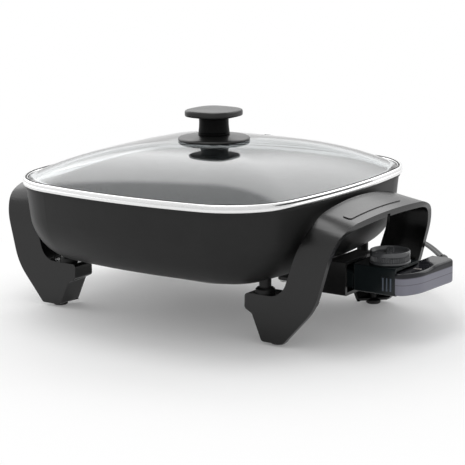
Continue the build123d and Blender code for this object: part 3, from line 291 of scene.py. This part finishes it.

# The inside of the pan has a lighter coating, and its grey is raised further as painted light for the light
# the glass lid holds back
pan_tree = coating.node_tree
pan_inside, pan_mix = use_group(pan_tree, inside_share, {}), pan_tree.nodes.new("ShaderNodeMix")
pan_mix.data_type = "RGBA"
inside_grey_and_painted_light = (0.1, 0.105, 0.108, 1)
pan_mix.inputs[mix_second].default_value = inside_grey_and_painted_light
pan_shader = pan_tree.nodes["Principled BSDF"]
pan_tree.links.new(pan_shader.inputs["Base Color"].links[0].from_socket, pan_mix.inputs[mix_first])
pan_tree.links.new(pan_inside.outputs["Share"], pan_mix.inputs["Factor"])
pan_tree.links.new(pan_mix.outputs[mix_result], pan_shader.inputs["Base Color"])

# The control's rear shells get painted light and shade: dark on top, lighter grey below, and a painted shade
# line along the seam where they meet
grey_tree = control_grey.node_tree
painted_shell_tones = use_group(
    grey_tree,
    painted_shell_light_shade,
    {
        "Upper": (0.016, 0.016, 0.019, 1),
        "Lower": (0.21, 0.21, 0.25, 1),
        "Change start": 56.2 * MM,
        "Change end": 57.8 * MM,
        "Seam height": 51.0 * MM,
        "Seam half width": 0.28 * MM,
        "Painted seam shade": 0.55,
    },
)
grey_tree.links.new(painted_shell_tones.outputs["Colour"], grey_tree.nodes["Principled BSDF"].inputs["Base Color"])


def clear_material(name, tint, roughness, bend):
    """A clear material with a fine ripple in its surface."""
    made = bpy.data.materials.new(name)
    made.use_nodes = True
    tree = made.node_tree
    shader = tree.nodes["Principled BSDF"]
    shader.inputs["Transmission Weight"].default_value = 1.0
    shader.inputs["IOR"].default_value = bend
    shader.inputs["Roughness"].default_value = roughness
    ripple = use_group(
        tree,
        moulded,
        {
            "Colour": (*tint, 1),
            "Second colour": (*[min(value * 1.02, 1) for value in tint], 1),
            "Cloud scale": 12,
            "Grain scale": 30,
            "Gloss low": 0,
            "Gloss high": 0,
            "Grain depth": 0.003,
        },
    )
    tree.links.new(ripple.outputs["Colour"], shader.inputs["Base Color"])
    tree.links.new(ripple.outputs["Normal"], shader.inputs["Normal"])
    return made


glass = clear_material("lid_glass", (0.875, 0.905, 0.915), 0.0, 1.6)

finishes = {
    "pan": coating,
    "post_collars": stand_black,
    "right_handle": phenolic,
    "left_handle": phenolic,
    "handle_screws": zinc,
    "rubber_feet": rubber,
    "heating_element": dull_steel,
    "element_channel": cast,
    "terminal_pins": dull_steel,
    "terminal_insulators": ceramic,
    "probe_guide": cast,
    "terminal_shroud": shroud_painted_light_black,
    "shroud_screws": zinc,
    "lid_rim": steel,
    "lid_glass": glass,
    "vent_eyelet": steel,
    "knob_gasket": rubber,
    "knob_skirt": knob_black,
    "lid_knob": knob_black,
    "knob_washer": zinc,
    "knob_screw": zinc,
    "control_front": control_black,
    "control_upper_shell": control_grey,
    "control_lower_shell": control_grey,
    "shell_screws": zinc,
    "probe_rod": dull_steel,
    "terminal_sockets": brass,
    "thermostat_frame": dull_steel,
    "contact_stack": ceramic,
    "contact_blades": brass,
    "pilot_lens": lens_grey,
    "pilot_lamp": ceramic,
    "strain_relief": vinyl,
    "power_cord": vinyl,
    "cord_coil": vinyl,
    "cord_tie": vinyl,
    "plug_body": vinyl,
    "plug_blades": brass,
    "control_dial": smoke,
    "dial_shaft": dull_steel,
}

for node, finish in finishes.items():
    nodes[node].data.materials.clear()
    nodes[node].data.materials.append(finish)


# Mesh helpers


def mesh_piece(name, points, faces, finish, body):
    """A new piece of the object, from points in millimetres."""
    data = bpy.data.meshes.new(name)
    data.from_pydata([tuple(value * MM for value in point) for point in points], [], faces)
    shell = bmesh.new()
    shell.from_mesh(data)
    bmesh.ops.recalc_face_normals(shell, faces=shell.faces)
    for face in shell.faces:
        face.smooth = True
    for edge in shell.edges:
        edge.smooth = edge.calc_face_angle(0) < new_crease
    shell.to_mesh(data)
    shell.free()
    data.materials.append(finish)
    piece = bpy.data.objects.new(name, data)
    bpy.context.scene.collection.objects.link(piece)
    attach(piece, body)
    return piece


def ringed(name, rings, finish, body, closed=False):
    """A piece through rings of points; the ends are capped, or the last ring joins the first."""
    size = len(rings[0])
    pairs = [(ring, ring + 1) for ring in range(len(rings) - 1)]
    if closed:
        pairs.append((len(rings) - 1, 0))
    faces = [
        (a * size + step, a * size + (step + 1) % size, b * size + (step + 1) % size, b * size + step)
        for a, b in pairs
        for step in range(size)
    ]
    if not closed:
        last = (len(rings) - 1) * size
        faces.append(tuple(reversed(range(size))))
        faces.append(tuple(range(last, last + size)))
    return mesh_piece(name, [point for ring in rings for point in ring], faces, finish, body)


def bowed_reach(angle, half, bow, corner):
    """Distance from the centre to the outline of a square with bowed sides and round corners."""
    angle = abs((angle + math.pi / 4) % (math.pi / 2) - math.pi / 4)
    side = half - bow
    bow_radius = (side**2 + bow**2) / (2 * bow)
    bow_place = half - bow_radius
    corner_place = (bow_place + math.sqrt(2 * (bow_radius - corner) ** 2 - bow_place**2)) / 2
    across = math.hypot(corner_place - bow_place, corner_place)
    join_x = bow_place + bow_radius * (corner_place - bow_place) / across
    join_y = bow_radius * corner_place / across
    if angle <= math.atan2(join_y, join_x):
        return bow_place * math.cos(angle) + math.sqrt(bow_radius**2 - (bow_place * math.sin(angle)) ** 2)
    along = corner_place * (math.cos(angle) + math.sin(angle))
    return along + math.sqrt(along**2 - 2 * corner_place**2 + corner**2)


def bowed_ring(half, bow, corner, z, steps, scale=1.0):
    """A level outline of a bowed square."""
    ring = []
    for step in range(steps):
        angle = 2 * math.pi * step / steps
        reach = scale * bowed_reach(angle, half, bow, corner)
        ring.append((reach * math.cos(angle), reach * math.sin(angle), z))
    return ring


def round_ring(radius, z, steps):
    """A level circle round the knob's axis."""
    angles = [2 * math.pi * step / steps for step in range(steps)]
    return [(radius * math.cos(angle), radius * math.sin(angle), z) for angle in angles]


def split_along(work, place, normal):
    """Adds edges where a plane crosses the faces, and takes nothing away."""
    everything = work.verts[:] + work.edges[:] + work.faces[:]
    bmesh.ops.bisect_plane(work, geom=everything, plane_co=place, plane_no=normal)


def lean_grip(work):
    """Slants the free edges of the plates inside the legs, and leans the top of the grip outwards."""
    for side in (-1, 1):
        for _, _, _, reach, _ in leg_plates:
            split_along(work, (0, side * reach * MM, 0), (0, 1, 0))
    for vert in work.verts:
        x, y, z = (value / MM for value in vert.co)
        for low, high, edge, reach, slant in leg_plates:
            if low < z < high and abs(x) > edge:
                vert.co.x -= math.copysign(slant * max(reach - abs(y), 0) * MM, x)
    for step in range(lean_cuts):
        for side in (-1, 1):
            split_along(work, (side * (lean_first_cut + lean_cut_step * step) * MM, 0, 0), (1, 0, 0))
    for vert in work.verts:
        x, y, z = (value / MM for value in vert.co)
        upper = min(max((z - lean_low) / (lean_high - lean_low), 0), 1)
        slope = grip_lean + grip_dip * max(1 - (y / lean_half_length) ** 2, 0)
        lean = slope * max(abs(x) - lean_start, 0)
        vert.co.z -= lean * upper * upper * (3 - 2 * upper) * MM


def softened(node, width, reshape):
    """The node's own shape with its sharp edges rounded, as a finer piece in its place."""
    sharp, flat, weld = math.radians(30), math.radians(0.5), 1e-6
    data = nodes[node].data.copy()
    data.name = node + "_soft"
    work = bmesh.new()
    work.from_mesh(data)
    bmesh.ops.remove_doubles(work, verts=work.verts, dist=weld)
    bmesh.ops.dissolve_limit(work, angle_limit=flat, verts=work.verts, edges=work.edges)
    edges = [edge for edge in work.edges if len(edge.link_faces) == 2 and edge.calc_face_angle() > sharp]
    bmesh.ops.bevel(
        work,
        geom=edges,
        offset=width * MM,
        offset_type="OFFSET",
        segments=3,
        profile=0.5,
        affect="EDGES",
        clamp_overlap=True,
    )
    if reshape:
        reshape(work)
    for face in work.faces:
        face.smooth = True
    for edge in work.edges:
        edge.smooth = len(edge.link_faces) == 2 and edge.calc_face_angle() < soft_crease
    fresh = bpy.data.meshes.new(node + "_soft")
    work.to_mesh(fresh)
    work.free()
    bpy.data.meshes.remove(data)
    fresh.materials.append(finishes[node])
    piece = bpy.data.objects.new(node + "_soft", fresh)
    piece.matrix_world = nodes[node].matrix_world
    bpy.context.scene.collection.objects.link(piece)
    even = piece.modifiers.new("even_shading", "WEIGHTED_NORMAL")
    even.keep_sharp = True
    return piece


# Lid: rolled rim with a groove, glass dome and knob. Profiles are pairs of a distance and a height; the
# rim's distances are counted outwards from the edge of the lid
rim_profiles = {
    "rolled_rim": (
        (-1.3, 126.45), (-0.6, 126.62), (-0.2, 127.1), (-0.03, 127.9), (0.0, 128.6), (0.0, 129.1),
        (-0.12, 129.35), (-0.5, 129.6), (-0.87, 129.85), (-0.96, 130.0), (-0.87, 130.2), (-0.2, 132.1),
        (-0.08, 132.35), (-0.13, 132.65), (-0.4, 133.0), (-0.95, 133.35), (-1.6, 133.52), (-2.15, 133.4),
        (-2.5, 133.0), (-2.6, 132.4), (-2.55, 131.8), (-1.7, 131.2), (-1.3, 130.2), (-1.3, 127.6),
        (-2.2, 127.42), (-7.4, 127.4), (-7.5, 126.95), (-7.2, 126.5),
    ),
    "rim_bead": (
        (-3.45, 132.1), (-3.5, 132.75), (-3.7, 133.1), (-4.05, 133.15), (-4.35, 132.9), (-4.45, 132.45),
        (-4.2, 132.2),
    ),
    "locating_bead": (
        (-7.3, 127.3), (-8.2, 127.1), (-8.7, 126.4), (-8.75, 122.2), (-8.5, 121.0), (-7.9, 120.5),
        (-7.35, 120.9), (-7.1, 122.0), (-7.0, 126.4),
    ),
    # The dark ring in the rim's groove: painted shade between rim and glass
    "groove_shade_ring": (
        (-2.62, 131.7), (-2.62, 133.3), (-2.85, 133.85), (-3.2, 133.85), (-3.43, 133.3), (-3.43, 131.95),
    ),
}
for name, profile in rim_profiles.items():
    finish, slot = (groove_shade_black, "foot_rubber") if name == "groove_shade_ring" else (steel, "polished_steel")
    rings = [bowed_ring(lid_half + out, lid_bow, lid_corner + out, z, rim_sides) for out, z in profile]
    ringed(name, rings, finish, "lid", closed=True)
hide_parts("lid_rim")

dome_shares = [dome_start + (1 - dome_start) * step / dome_levels for step in range(dome_levels + 1)]
glass_base = glass_top - glass_thickness


def dome_ring(share, half, base):
    """A level line of the dome, at a share of its half width."""
    height = base + dome_rise * (1 - share**dome_power)
    return bowed_ring(lid_half, lid_bow, lid_corner, height, dome_sides, share * half / lid_half)


dome_rings = [dome_ring(share, glass_half, glass_top) for share in dome_shares]
dome_rings.append(dome_ring(1, glass_half, glass_base))
dome_rings += [dome_ring(share, glass_half - glass_edge_width, glass_base) for share in reversed(dome_shares)]
dome = ringed("glass_dome", dome_rings, glass, "lid", closed=True)
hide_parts("lid_glass")

skirt_profile = (
    (14.0, 167.0), (16.4, 166.95), (18.0, 166.7), (20.5, 166.35), (24.0, 165.95), (28.0, 165.5),
    (31.0, 165.15), (33.0, 164.8), (34.1, 164.3), (34.6, 163.6), (34.65, 162.9), (34.3, 162.2),
    (33.6, 161.9), (32.4, 162.0), (31.6, 162.8), (6.0, 163.5), (6.0, 167.0),
)
skirt_rings = [round_ring(radius, z, knob_sides) for radius, z in skirt_profile]
skirt = ringed("knob_flange", skirt_rings, knob_black, "lid", closed=True)
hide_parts("knob_skirt")

stem_profile = (
    (12.0, 166.9), (15.2, 166.9), (15.3, 167.5), (14.8, 167.75), (14.8, 168.05), (15.15, 168.3),
    (15.15, 169.3), (14.6, 169.6), (14.6, 169.9), (14.9, 170.2), (14.7, 172.0), (14.35, 175.0),
    (14.2, 178.5), (14.25, 181.5), (14.5, 183.6), (15.0, 184.7), (15.8, 185.3),
)
stem_rings = [round_ring(radius, z, stem_sides) for radius, z in stem_profile]
# The stem takes the darker copy of the knob's plastic, which is painted shade under the cap
ringed("knob_stem", stem_rings, stem_painted_shade, "lid")

# The cap's profile gives each level line as a share of the cap's outline
cap_profile = (
    (0.45, 185.3), (0.955, 185.2), (0.982, 185.45), (0.996, 186.1), (1.0, 187.2), (1.0, 189.0),
    (0.994, 190.0), (0.975, 190.75), (0.94, 191.2), (0.87, 191.6), (0.76, 192.1), (0.6, 192.6),
    (0.4, 192.95), (0.2, 193.12), (0.05, 193.17),
)
cap_rings = [bowed_ring(cap_half, cap_bow, cap_corner, z, knob_sides, share) for share, z in cap_profile]
cap = ringed("knob_cap", cap_rings, knob_black, "lid")
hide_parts("lid_knob")


# Handles and housings with rounded edges
for node, width, body, slot, reshape in (
    ("right_handle", 0.9, "base", "handle_plastic", lean_grip),
    ("left_handle", 0.9, "base", "handle_plastic", lean_grip),
    ("terminal_shroud", 0.5, "base", "control_black", None),
    ("control_upper_shell", 0.4, "heat_control", "control_grey", None),
    ("control_lower_shell", 0.4, "heat_control", "control_grey", None),
    ("control_front", 0.4, "heat_control", "control_black", None),
    ("plug_body", 0.6, "heat_control", "cord_black", None),
):
    piece = softened(node, width, reshape)
    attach(piece, body)
    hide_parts(node)


# Dial: a knurled band between a foot ring and a plain rim, round a recessed top
dial_teeth, points_per_tooth = 54, 4


def knurled_ring(low, high, z):
    """A level ring round the dial's axis, with fine teeth where the two radii differ."""
    ring = []
    for step in range(dial_teeth * points_per_tooth):
        radius = high if step % points_per_tooth in (1, 2) else low
        angle = 2 * math.pi * step / (dial_teeth * points_per_tooth)
        ring.append((dial_x + radius * math.cos(angle), radius * math.sin(angle), z))
    return ring


# Radius, depth of the teeth and height over the dial's base
dial_profile = (
    (14.0, 0, 0.0), (18.5, 0, 0.0), (18.85, 0, 0.3), (18.85, 0, 1.7), (18.5, 0, 2.1), (17.6, 0, 2.25),
    (17.2, 1.0, 2.6), (17.2, 1.0, 6.7), (17.6, 0, 7.1), (18.1, 0, 7.25), (18.3, 0, 7.6), (18.25, 0, 10.6),
    (18.05, 0, 11.2), (17.65, 0, 11.48), (17.1, 0, 11.4), (16.7, 0, 10.9), (16.5, 0, 8.4), (16.0, 0, 8.0),
    (5.0, 0, 7.9),
)
dial_rings = [knurled_ring(radius, radius + tooth, dial_base + rise) for radius, tooth, rise in dial_profile]
dial = ringed("dial_knob", dial_rings, smoke, "dial")
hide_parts("control_dial")

# The bar across the dial, by which it is turned
bar_turn = math.radians(118)
bar_sides, bar_squareness = 48, 8
bar_along = Vector((math.cos(bar_turn), math.sin(bar_turn), 0))
bar_across = Vector((-math.sin(bar_turn), math.cos(bar_turn), 0))
bar_rings = []
for length, width, rise in ((15.8, 3.6, 7.8), (15.8, 3.4, 10.0), (15.5, 3.0, 10.6), (15.0, 2.3, 10.85)):
    corners = []
    for step in range(bar_sides):
        angle = 2 * math.pi * step / bar_sides
        reach = Vector((math.cos(angle), math.sin(angle)))
        square = (abs(reach.x) ** bar_squareness + abs(reach.y) ** bar_squareness) ** (-1 / bar_squareness)
        place = bar_along * (reach.x * square * length) + bar_across * (reach.y * square * width)
        corners.append((dial_x + place.x, place.y, dial_base + rise))
    bar_rings.append(corners)
ringed("dial_bar", bar_rings, smoke, "dial")


# Three ribs on the control's side, each with a narrowed top, in a lighter grey that is painted highlight
rib_x, rib_y, rib_z, rib_pitch = 203.3, -22.0, 50.6, 3.9
rib_half_width, rib_half_height = 0.75, 6.0
rib_levels = ((0.0, 1.0, 1.0), (0.75, 1.0, 1.0), (0.98, 0.6, 0.97))
for index in range(3):
    middle = rib_x + rib_pitch * (index - 1)
    rings = [
        [
            (middle + side * rib_half_width * wide, rib_y - proud, rib_z + end * rib_half_height * tall)
            for side, end in ((-1, -1), (1, -1), (1, 1), (-1, 1))
        ]
        for proud, wide, tall in rib_levels
    ]
    ringed("side_rib_%d" % (index + 1), rings, rib_highlight_grey, "heat_control")


# Strain relief: a ribbed sleeve that bends with the cord
sleeve_steps, sleeve_sides, sleeve_ribs = 64, 32, 7
sleeve_root, sleeve_taper, sleeve_rib_depth, sleeve_tip = 5.5, 1.3, 0.55, 3.9
neck_steps, neck_step, neck_radius = 4, 0.55, 4.5
relief_rings = []
for step in range(-neck_steps, sleeve_steps + 1):
    share = max(step, 0) / sleeve_steps
    turn = relief_turn * share
    across = Vector((math.cos(turn), math.sin(turn), 0))
    centre = Vector((relief_x, relief_y, relief_z))
    centre.x -= relief_bend * (1 - math.cos(turn))
    centre.y += relief_bend * math.sin(turn)
    wave = 0.5 - 0.5 * math.cos(2 * math.pi * sleeve_ribs * share)
    radius = sleeve_root - sleeve_taper * share - sleeve_rib_depth * wave**0.5
    if step < 0:
        centre.y += neck_step * step
        radius = neck_radius
    if step == sleeve_steps:
        radius = sleeve_tip
    ring = []
    for side in range(sleeve_sides):
        angle = 2 * math.pi * side / sleeve_sides
        ring.append(tuple(centre + (across * math.cos(angle) + UPWARD * math.sin(angle)) * radius))
    relief_rings.append(ring)
sleeve = ringed("relief_sleeve", relief_rings, vinyl, "heat_control")
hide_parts("strain_relief")


# Cord: the route of the solids, as the control points of one smooth line
relief_tip = (207.312, 76.498, 55.6)
route = [
    relief_tip,
    (182.886, 105.608, 55.6),
    (148.0, 139.0, 54.5),
    (128.0, 160.0, 43.0),
    (110.0, 172.0, 26.0),
    (90.0, 179.0, 11.0),
    (64.0, 183.5, 4.8),
    (36.0, 185.0, 4.5),
    (8.0, 183.0, 4.4),
]

# The coil winds inwards on the floor, climbs in its middle half turn and winds outwards on top
coil_x, coil_y, coil_low = -30.0, 222.5, 4.4
coil_radius, coil_turns, coil_step = 39.5, 3.0, 7.1
points_per_turn = 16
plug_lead = [(-56.0, 183.0, 11.5), (-70.0, 183.0, 11.5)]
for step in range(round(points_per_turn * coil_turns) + 1):
    turn = step / points_per_turn
    radius = coil_radius - coil_step * min(turn, coil_turns - turn)
    angle = math.radians(-90 - 360 * turn)
    climb = min(max(2 * (turn - coil_turns / 2) + 0.5, 0), 1)
    coil_z = coil_low + coil_step * climb
    route.append((coil_x + radius * math.cos(angle), coil_y + radius * math.sin(angle), coil_z))
route += plug_lead

line_data = bpy.data.curves.new("cord_line", "CURVE")
line_data.dimensions = "3D"
line_data.resolution_u = 12
spline = line_data.splines.new("NURBS")
spline.points.add(len(route) - 1)
for point, place in zip(spline.points, route):
    point.co = (*[value * MM for value in place], 1)
spline.order_u = 3
spline.use_endpoint_u = True
line = bpy.data.objects.new("cord_line", line_data)
bpy.context.scene.collection.objects.link(line)
bpy.context.view_layer.update()
line_mesh = bpy.data.meshes.new_from_object(line)
cord_path = [vertex.co.copy() for vertex in line_mesh.vertices]
bpy.data.objects.remove(line)
bpy.data.meshes.remove(line_mesh)

# The cord's section: two round cores side by side
lobe, lobe_offset, section_steps = 1.66, 1.5, 28
cord_section = []
for step in range(section_steps):
    angle = 2 * math.pi * (step + 0.5) / section_steps
    reach = lobe_offset * abs(math.cos(angle)) + math.sqrt(lobe**2 - (lobe_offset * math.sin(angle)) ** 2)
    cord_section.append((reach * math.cos(angle), reach * math.sin(angle)))

cord_rings = []
for index, place in enumerate(cord_path):
    before, after = cord_path[max(index - 1, 0)], cord_path[min(index + 1, len(cord_path) - 1)]
    ahead = (after - before).normalized()
    across = ahead.cross(UPWARD).normalized()
    rise = across.cross(ahead)
    cord_rings.append([tuple(place / MM + across * side + rise * up) for side, up in cord_section])
cord = ringed("mains_cord", cord_rings, vinyl, "heat_control")
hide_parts("power_cord", "cord_coil")


# Floor, light and camera


def seen_share(tree):
    """One for rays that come from the camera, a reflection or through glass."""
    seen = tree.nodes.new("ShaderNodeLightPath")
    total = seen.outputs["Is Camera Ray"]
    for label in ("Is Glossy Ray", "Is Transmission Ray"):
        adding = tree.nodes.new("ShaderNodeMath")
        adding.operation = "ADD"
        adding.use_clamp = True
        tree.links.new(total, adding.inputs[0])
        tree.links.new(seen.outputs[label], adding.inputs[1])
        total = adding.outputs[0]
    return total


floor_half = 8.0
floor_corners = [(x * floor_half, y * floor_half, 0) for x, y in ((-1, -1), (1, -1), (1, 1), (-1, 1))]
floor_data = bpy.data.meshes.new("floor")
floor_data.from_pydata(floor_corners, [], [(0, 1, 2, 3)])
floor = bpy.data.objects.new("floor", floor_data)
bpy.context.scene.collection.objects.link(floor)
floor_finish = material(
    "floor_paper", grey(0.95), grey(0.97), (0.85, 0.95), 300, 0.02, Specular_IOR_Level=0.1
)
floor_data.materials.append(floor_finish)

# Away from the object the floor runs out into the white of the background; near the object a small share of
# the same white glow lifts the object's shadow, which is painted light
fade_centre, fade_start, fade_end, shadow_lift_share = (0.07, 0, 0), 0.17, 0.45, 0.14
floor_tree = floor_finish.node_tree
floor_seen = seen_share(floor_tree)
add_floor = floor_tree.nodes.new
floor_place, floor_reach = add_floor("ShaderNodeTexCoord"), add_floor("ShaderNodeVectorMath")
floor_reach.operation = "DISTANCE"
floor_reach.inputs[1].default_value = fade_centre
floor_fade, floor_share = add_floor("ShaderNodeMapRange"), add_floor("ShaderNodeMath")
floor_fade.interpolation_type = "SMOOTHSTEP"
floor_fade.inputs["From Min"].default_value = fade_start
floor_fade.inputs["From Max"].default_value = fade_end
floor_fade.inputs["To Min"].default_value = shadow_lift_share
floor_share.operation = "MULTIPLY"
floor_white_and_shadow_lift, floor_mix = add_floor("ShaderNodeEmission"), add_floor("ShaderNodeMixShader")
floor_out = floor_tree.nodes["Material Output"]
for source, target in (
    (floor_place.outputs["Object"], floor_reach.inputs[0]),
    (floor_reach.outputs["Value"], floor_fade.inputs["Value"]),
    (floor_fade.outputs["Result"], floor_share.inputs[0]),
    (floor_seen, floor_share.inputs[1]),
    (floor_share.outputs[0], floor_mix.inputs[0]),
    (floor_tree.nodes["Principled BSDF"].outputs[0], floor_mix.inputs[1]),
    (floor_white_and_shadow_lift.outputs[0], floor_mix.inputs[2]),
    (floor_mix.outputs[0], floor_out.inputs["Surface"]),
):
    floor_tree.links.new(source, target)

world = bpy.data.worlds.new("studio")
bpy.context.scene.world = world
world.use_nodes = True
sky = world.node_tree
backdrop = sky.nodes["Background"]
backdrop.inputs["Color"].default_value = (1, 1, 1, 1)

# For reflections the white of the background grows darker overhead
fill_strength, white_strength, overhead_strength = 0.67, 1.0, 0.9
overhead_start, overhead_end = 0.35, 0.8
sky_place, sky_split = sky.nodes.new("ShaderNodeTexCoord"), sky.nodes.new("ShaderNodeSeparateXYZ")
overhead, seen_sky = sky.nodes.new("ShaderNodeMapRange"), sky.nodes.new("ShaderNodeLightPath")
overhead.interpolation_type = "SMOOTHSTEP"
overhead.inputs["From Min"].default_value = overhead_start
overhead.inputs["From Max"].default_value = overhead_end
overhead.inputs["To Min"].default_value = white_strength
overhead.inputs["To Max"].default_value = overhead_strength
strength, strength_seen = sky.nodes.new("ShaderNodeMix"), sky.nodes.new("ShaderNodeMix")
strength.inputs["A"].default_value = fill_strength
strength_seen.inputs["B"].default_value = white_strength
for source, target in (
    (sky_place.outputs["Generated"], sky_split.inputs[0]),
    (sky_split.outputs["Z"], overhead.inputs["Value"]),
    (overhead.outputs["Result"], strength_seen.inputs["A"]),
    (seen_sky.outputs["Is Camera Ray"], strength_seen.inputs["Factor"]),
    (seen_share(sky), strength.inputs["Factor"]),
    (strength_seen.outputs["Result"], strength.inputs["B"]),
    (strength.outputs["Result"], backdrop.inputs["Strength"]),
):
    sky.links.new(source, target)


def soft_lamp(name, place, aim, width, height, radiance, edge):
    """A large soft panel of light that fades out towards its edges and that the camera doesn't see."""
    data = bpy.data.lights.new(name, "AREA")
    data.shape = "RECTANGLE"
    data.size, data.size_y = width, height
    data.energy = radiance * math.pi * width * height
    data.use_nodes = True
    tree = data.node_tree
    add, link = tree.nodes.new, tree.links.new
    spot, split = add("ShaderNodeNewGeometry"), add("ShaderNodeSeparateXYZ")
    link(spot.outputs["Parametric"], split.inputs[0])
    both = add("ShaderNodeMath")
    both.operation = "MULTIPLY"
    middle = 0.5
    for index, (axis, size) in enumerate((("X", width), ("Y", height))):
        off, far, fade = add("ShaderNodeMath"), add("ShaderNodeMath"), add("ShaderNodeMapRange")
        off.operation, far.operation, fade.interpolation_type = "SUBTRACT", "ABSOLUTE", "SMOOTHSTEP"
        off.inputs[1].default_value = middle
        fade.inputs["From Min"].default_value = middle
        fade.inputs["From Max"].default_value = middle - edge / size
        link(split.outputs[axis], off.inputs[0])
        link(off.outputs[0], far.inputs[0])
        link(far.outputs[0], fade.inputs["Value"])
        link(fade.outputs["Result"], both.inputs[index])
    link(both.outputs[0], tree.nodes["Emission"].inputs["Strength"])
    lamp = bpy.data.objects.new(name, data)
    bpy.context.scene.collection.objects.link(lamp)
    facing = (Vector(aim) - Vector(place)).to_track_quat("-Z", "Y")
    lamp.matrix_world = Matrix.Translation(Vector(place)) @ facing.to_matrix().to_4x4()
    lamp.visible_camera = False
    lamp.visible_transmission = False


# Each panel's place, aim, width and height in metres, then its radiance and the width of its soft edge
soft_lamp("back_panel", (-0.38, 1.348, 1.315), (0.0, 0.0, 1.315), 4.8, 1.43, 1.62, 0.3)
soft_lamp("left_panel", (-1.4, -0.2, 1.25), (0.0, -0.2, 1.25), 1.4, 2.0, 1.2, 0.35)
soft_lamp("top_panel", (-0.3, 0.1, 1.7), (-0.3, 0.1, 0.0), 0.95, 0.95, 3.5, 0.25)

# Camera, from the front right and a little above the lid
azimuth, elevation, roll = math.radians(35.72), math.radians(11.64), math.radians(-0.82)
camera_aim, camera_distance = Vector((0, 0, 0.09)), 1.6
back = Vector(
    (
        math.sin(azimuth) * math.cos(elevation),
        -math.cos(azimuth) * math.cos(elevation),
        math.sin(elevation),
    )
)
level = Vector((math.cos(azimuth), math.sin(azimuth), 0))
upright = back.cross(level)
right = level * math.cos(roll) + upright * math.sin(roll)
up = upright * math.cos(roll) - level * math.sin(roll)
camera_data = bpy.data.cameras.new("camera")
camera_data.sensor_width = 36
camera_data.lens = 127.97
camera_data.shift_x = 0.0372
camera_data.shift_y = -0.0419
camera = bpy.data.objects.new("camera", camera_data)
bpy.context.scene.collection.objects.link(camera)
turn_matrix = Matrix((right, up, back)).transposed().to_4x4()
camera.matrix_world = Matrix.Translation(camera_aim + back * camera_distance) @ turn_matrix
bpy.context.scene.camera = camera
bpy.context.scene.view_settings.view_transform = "Standard"
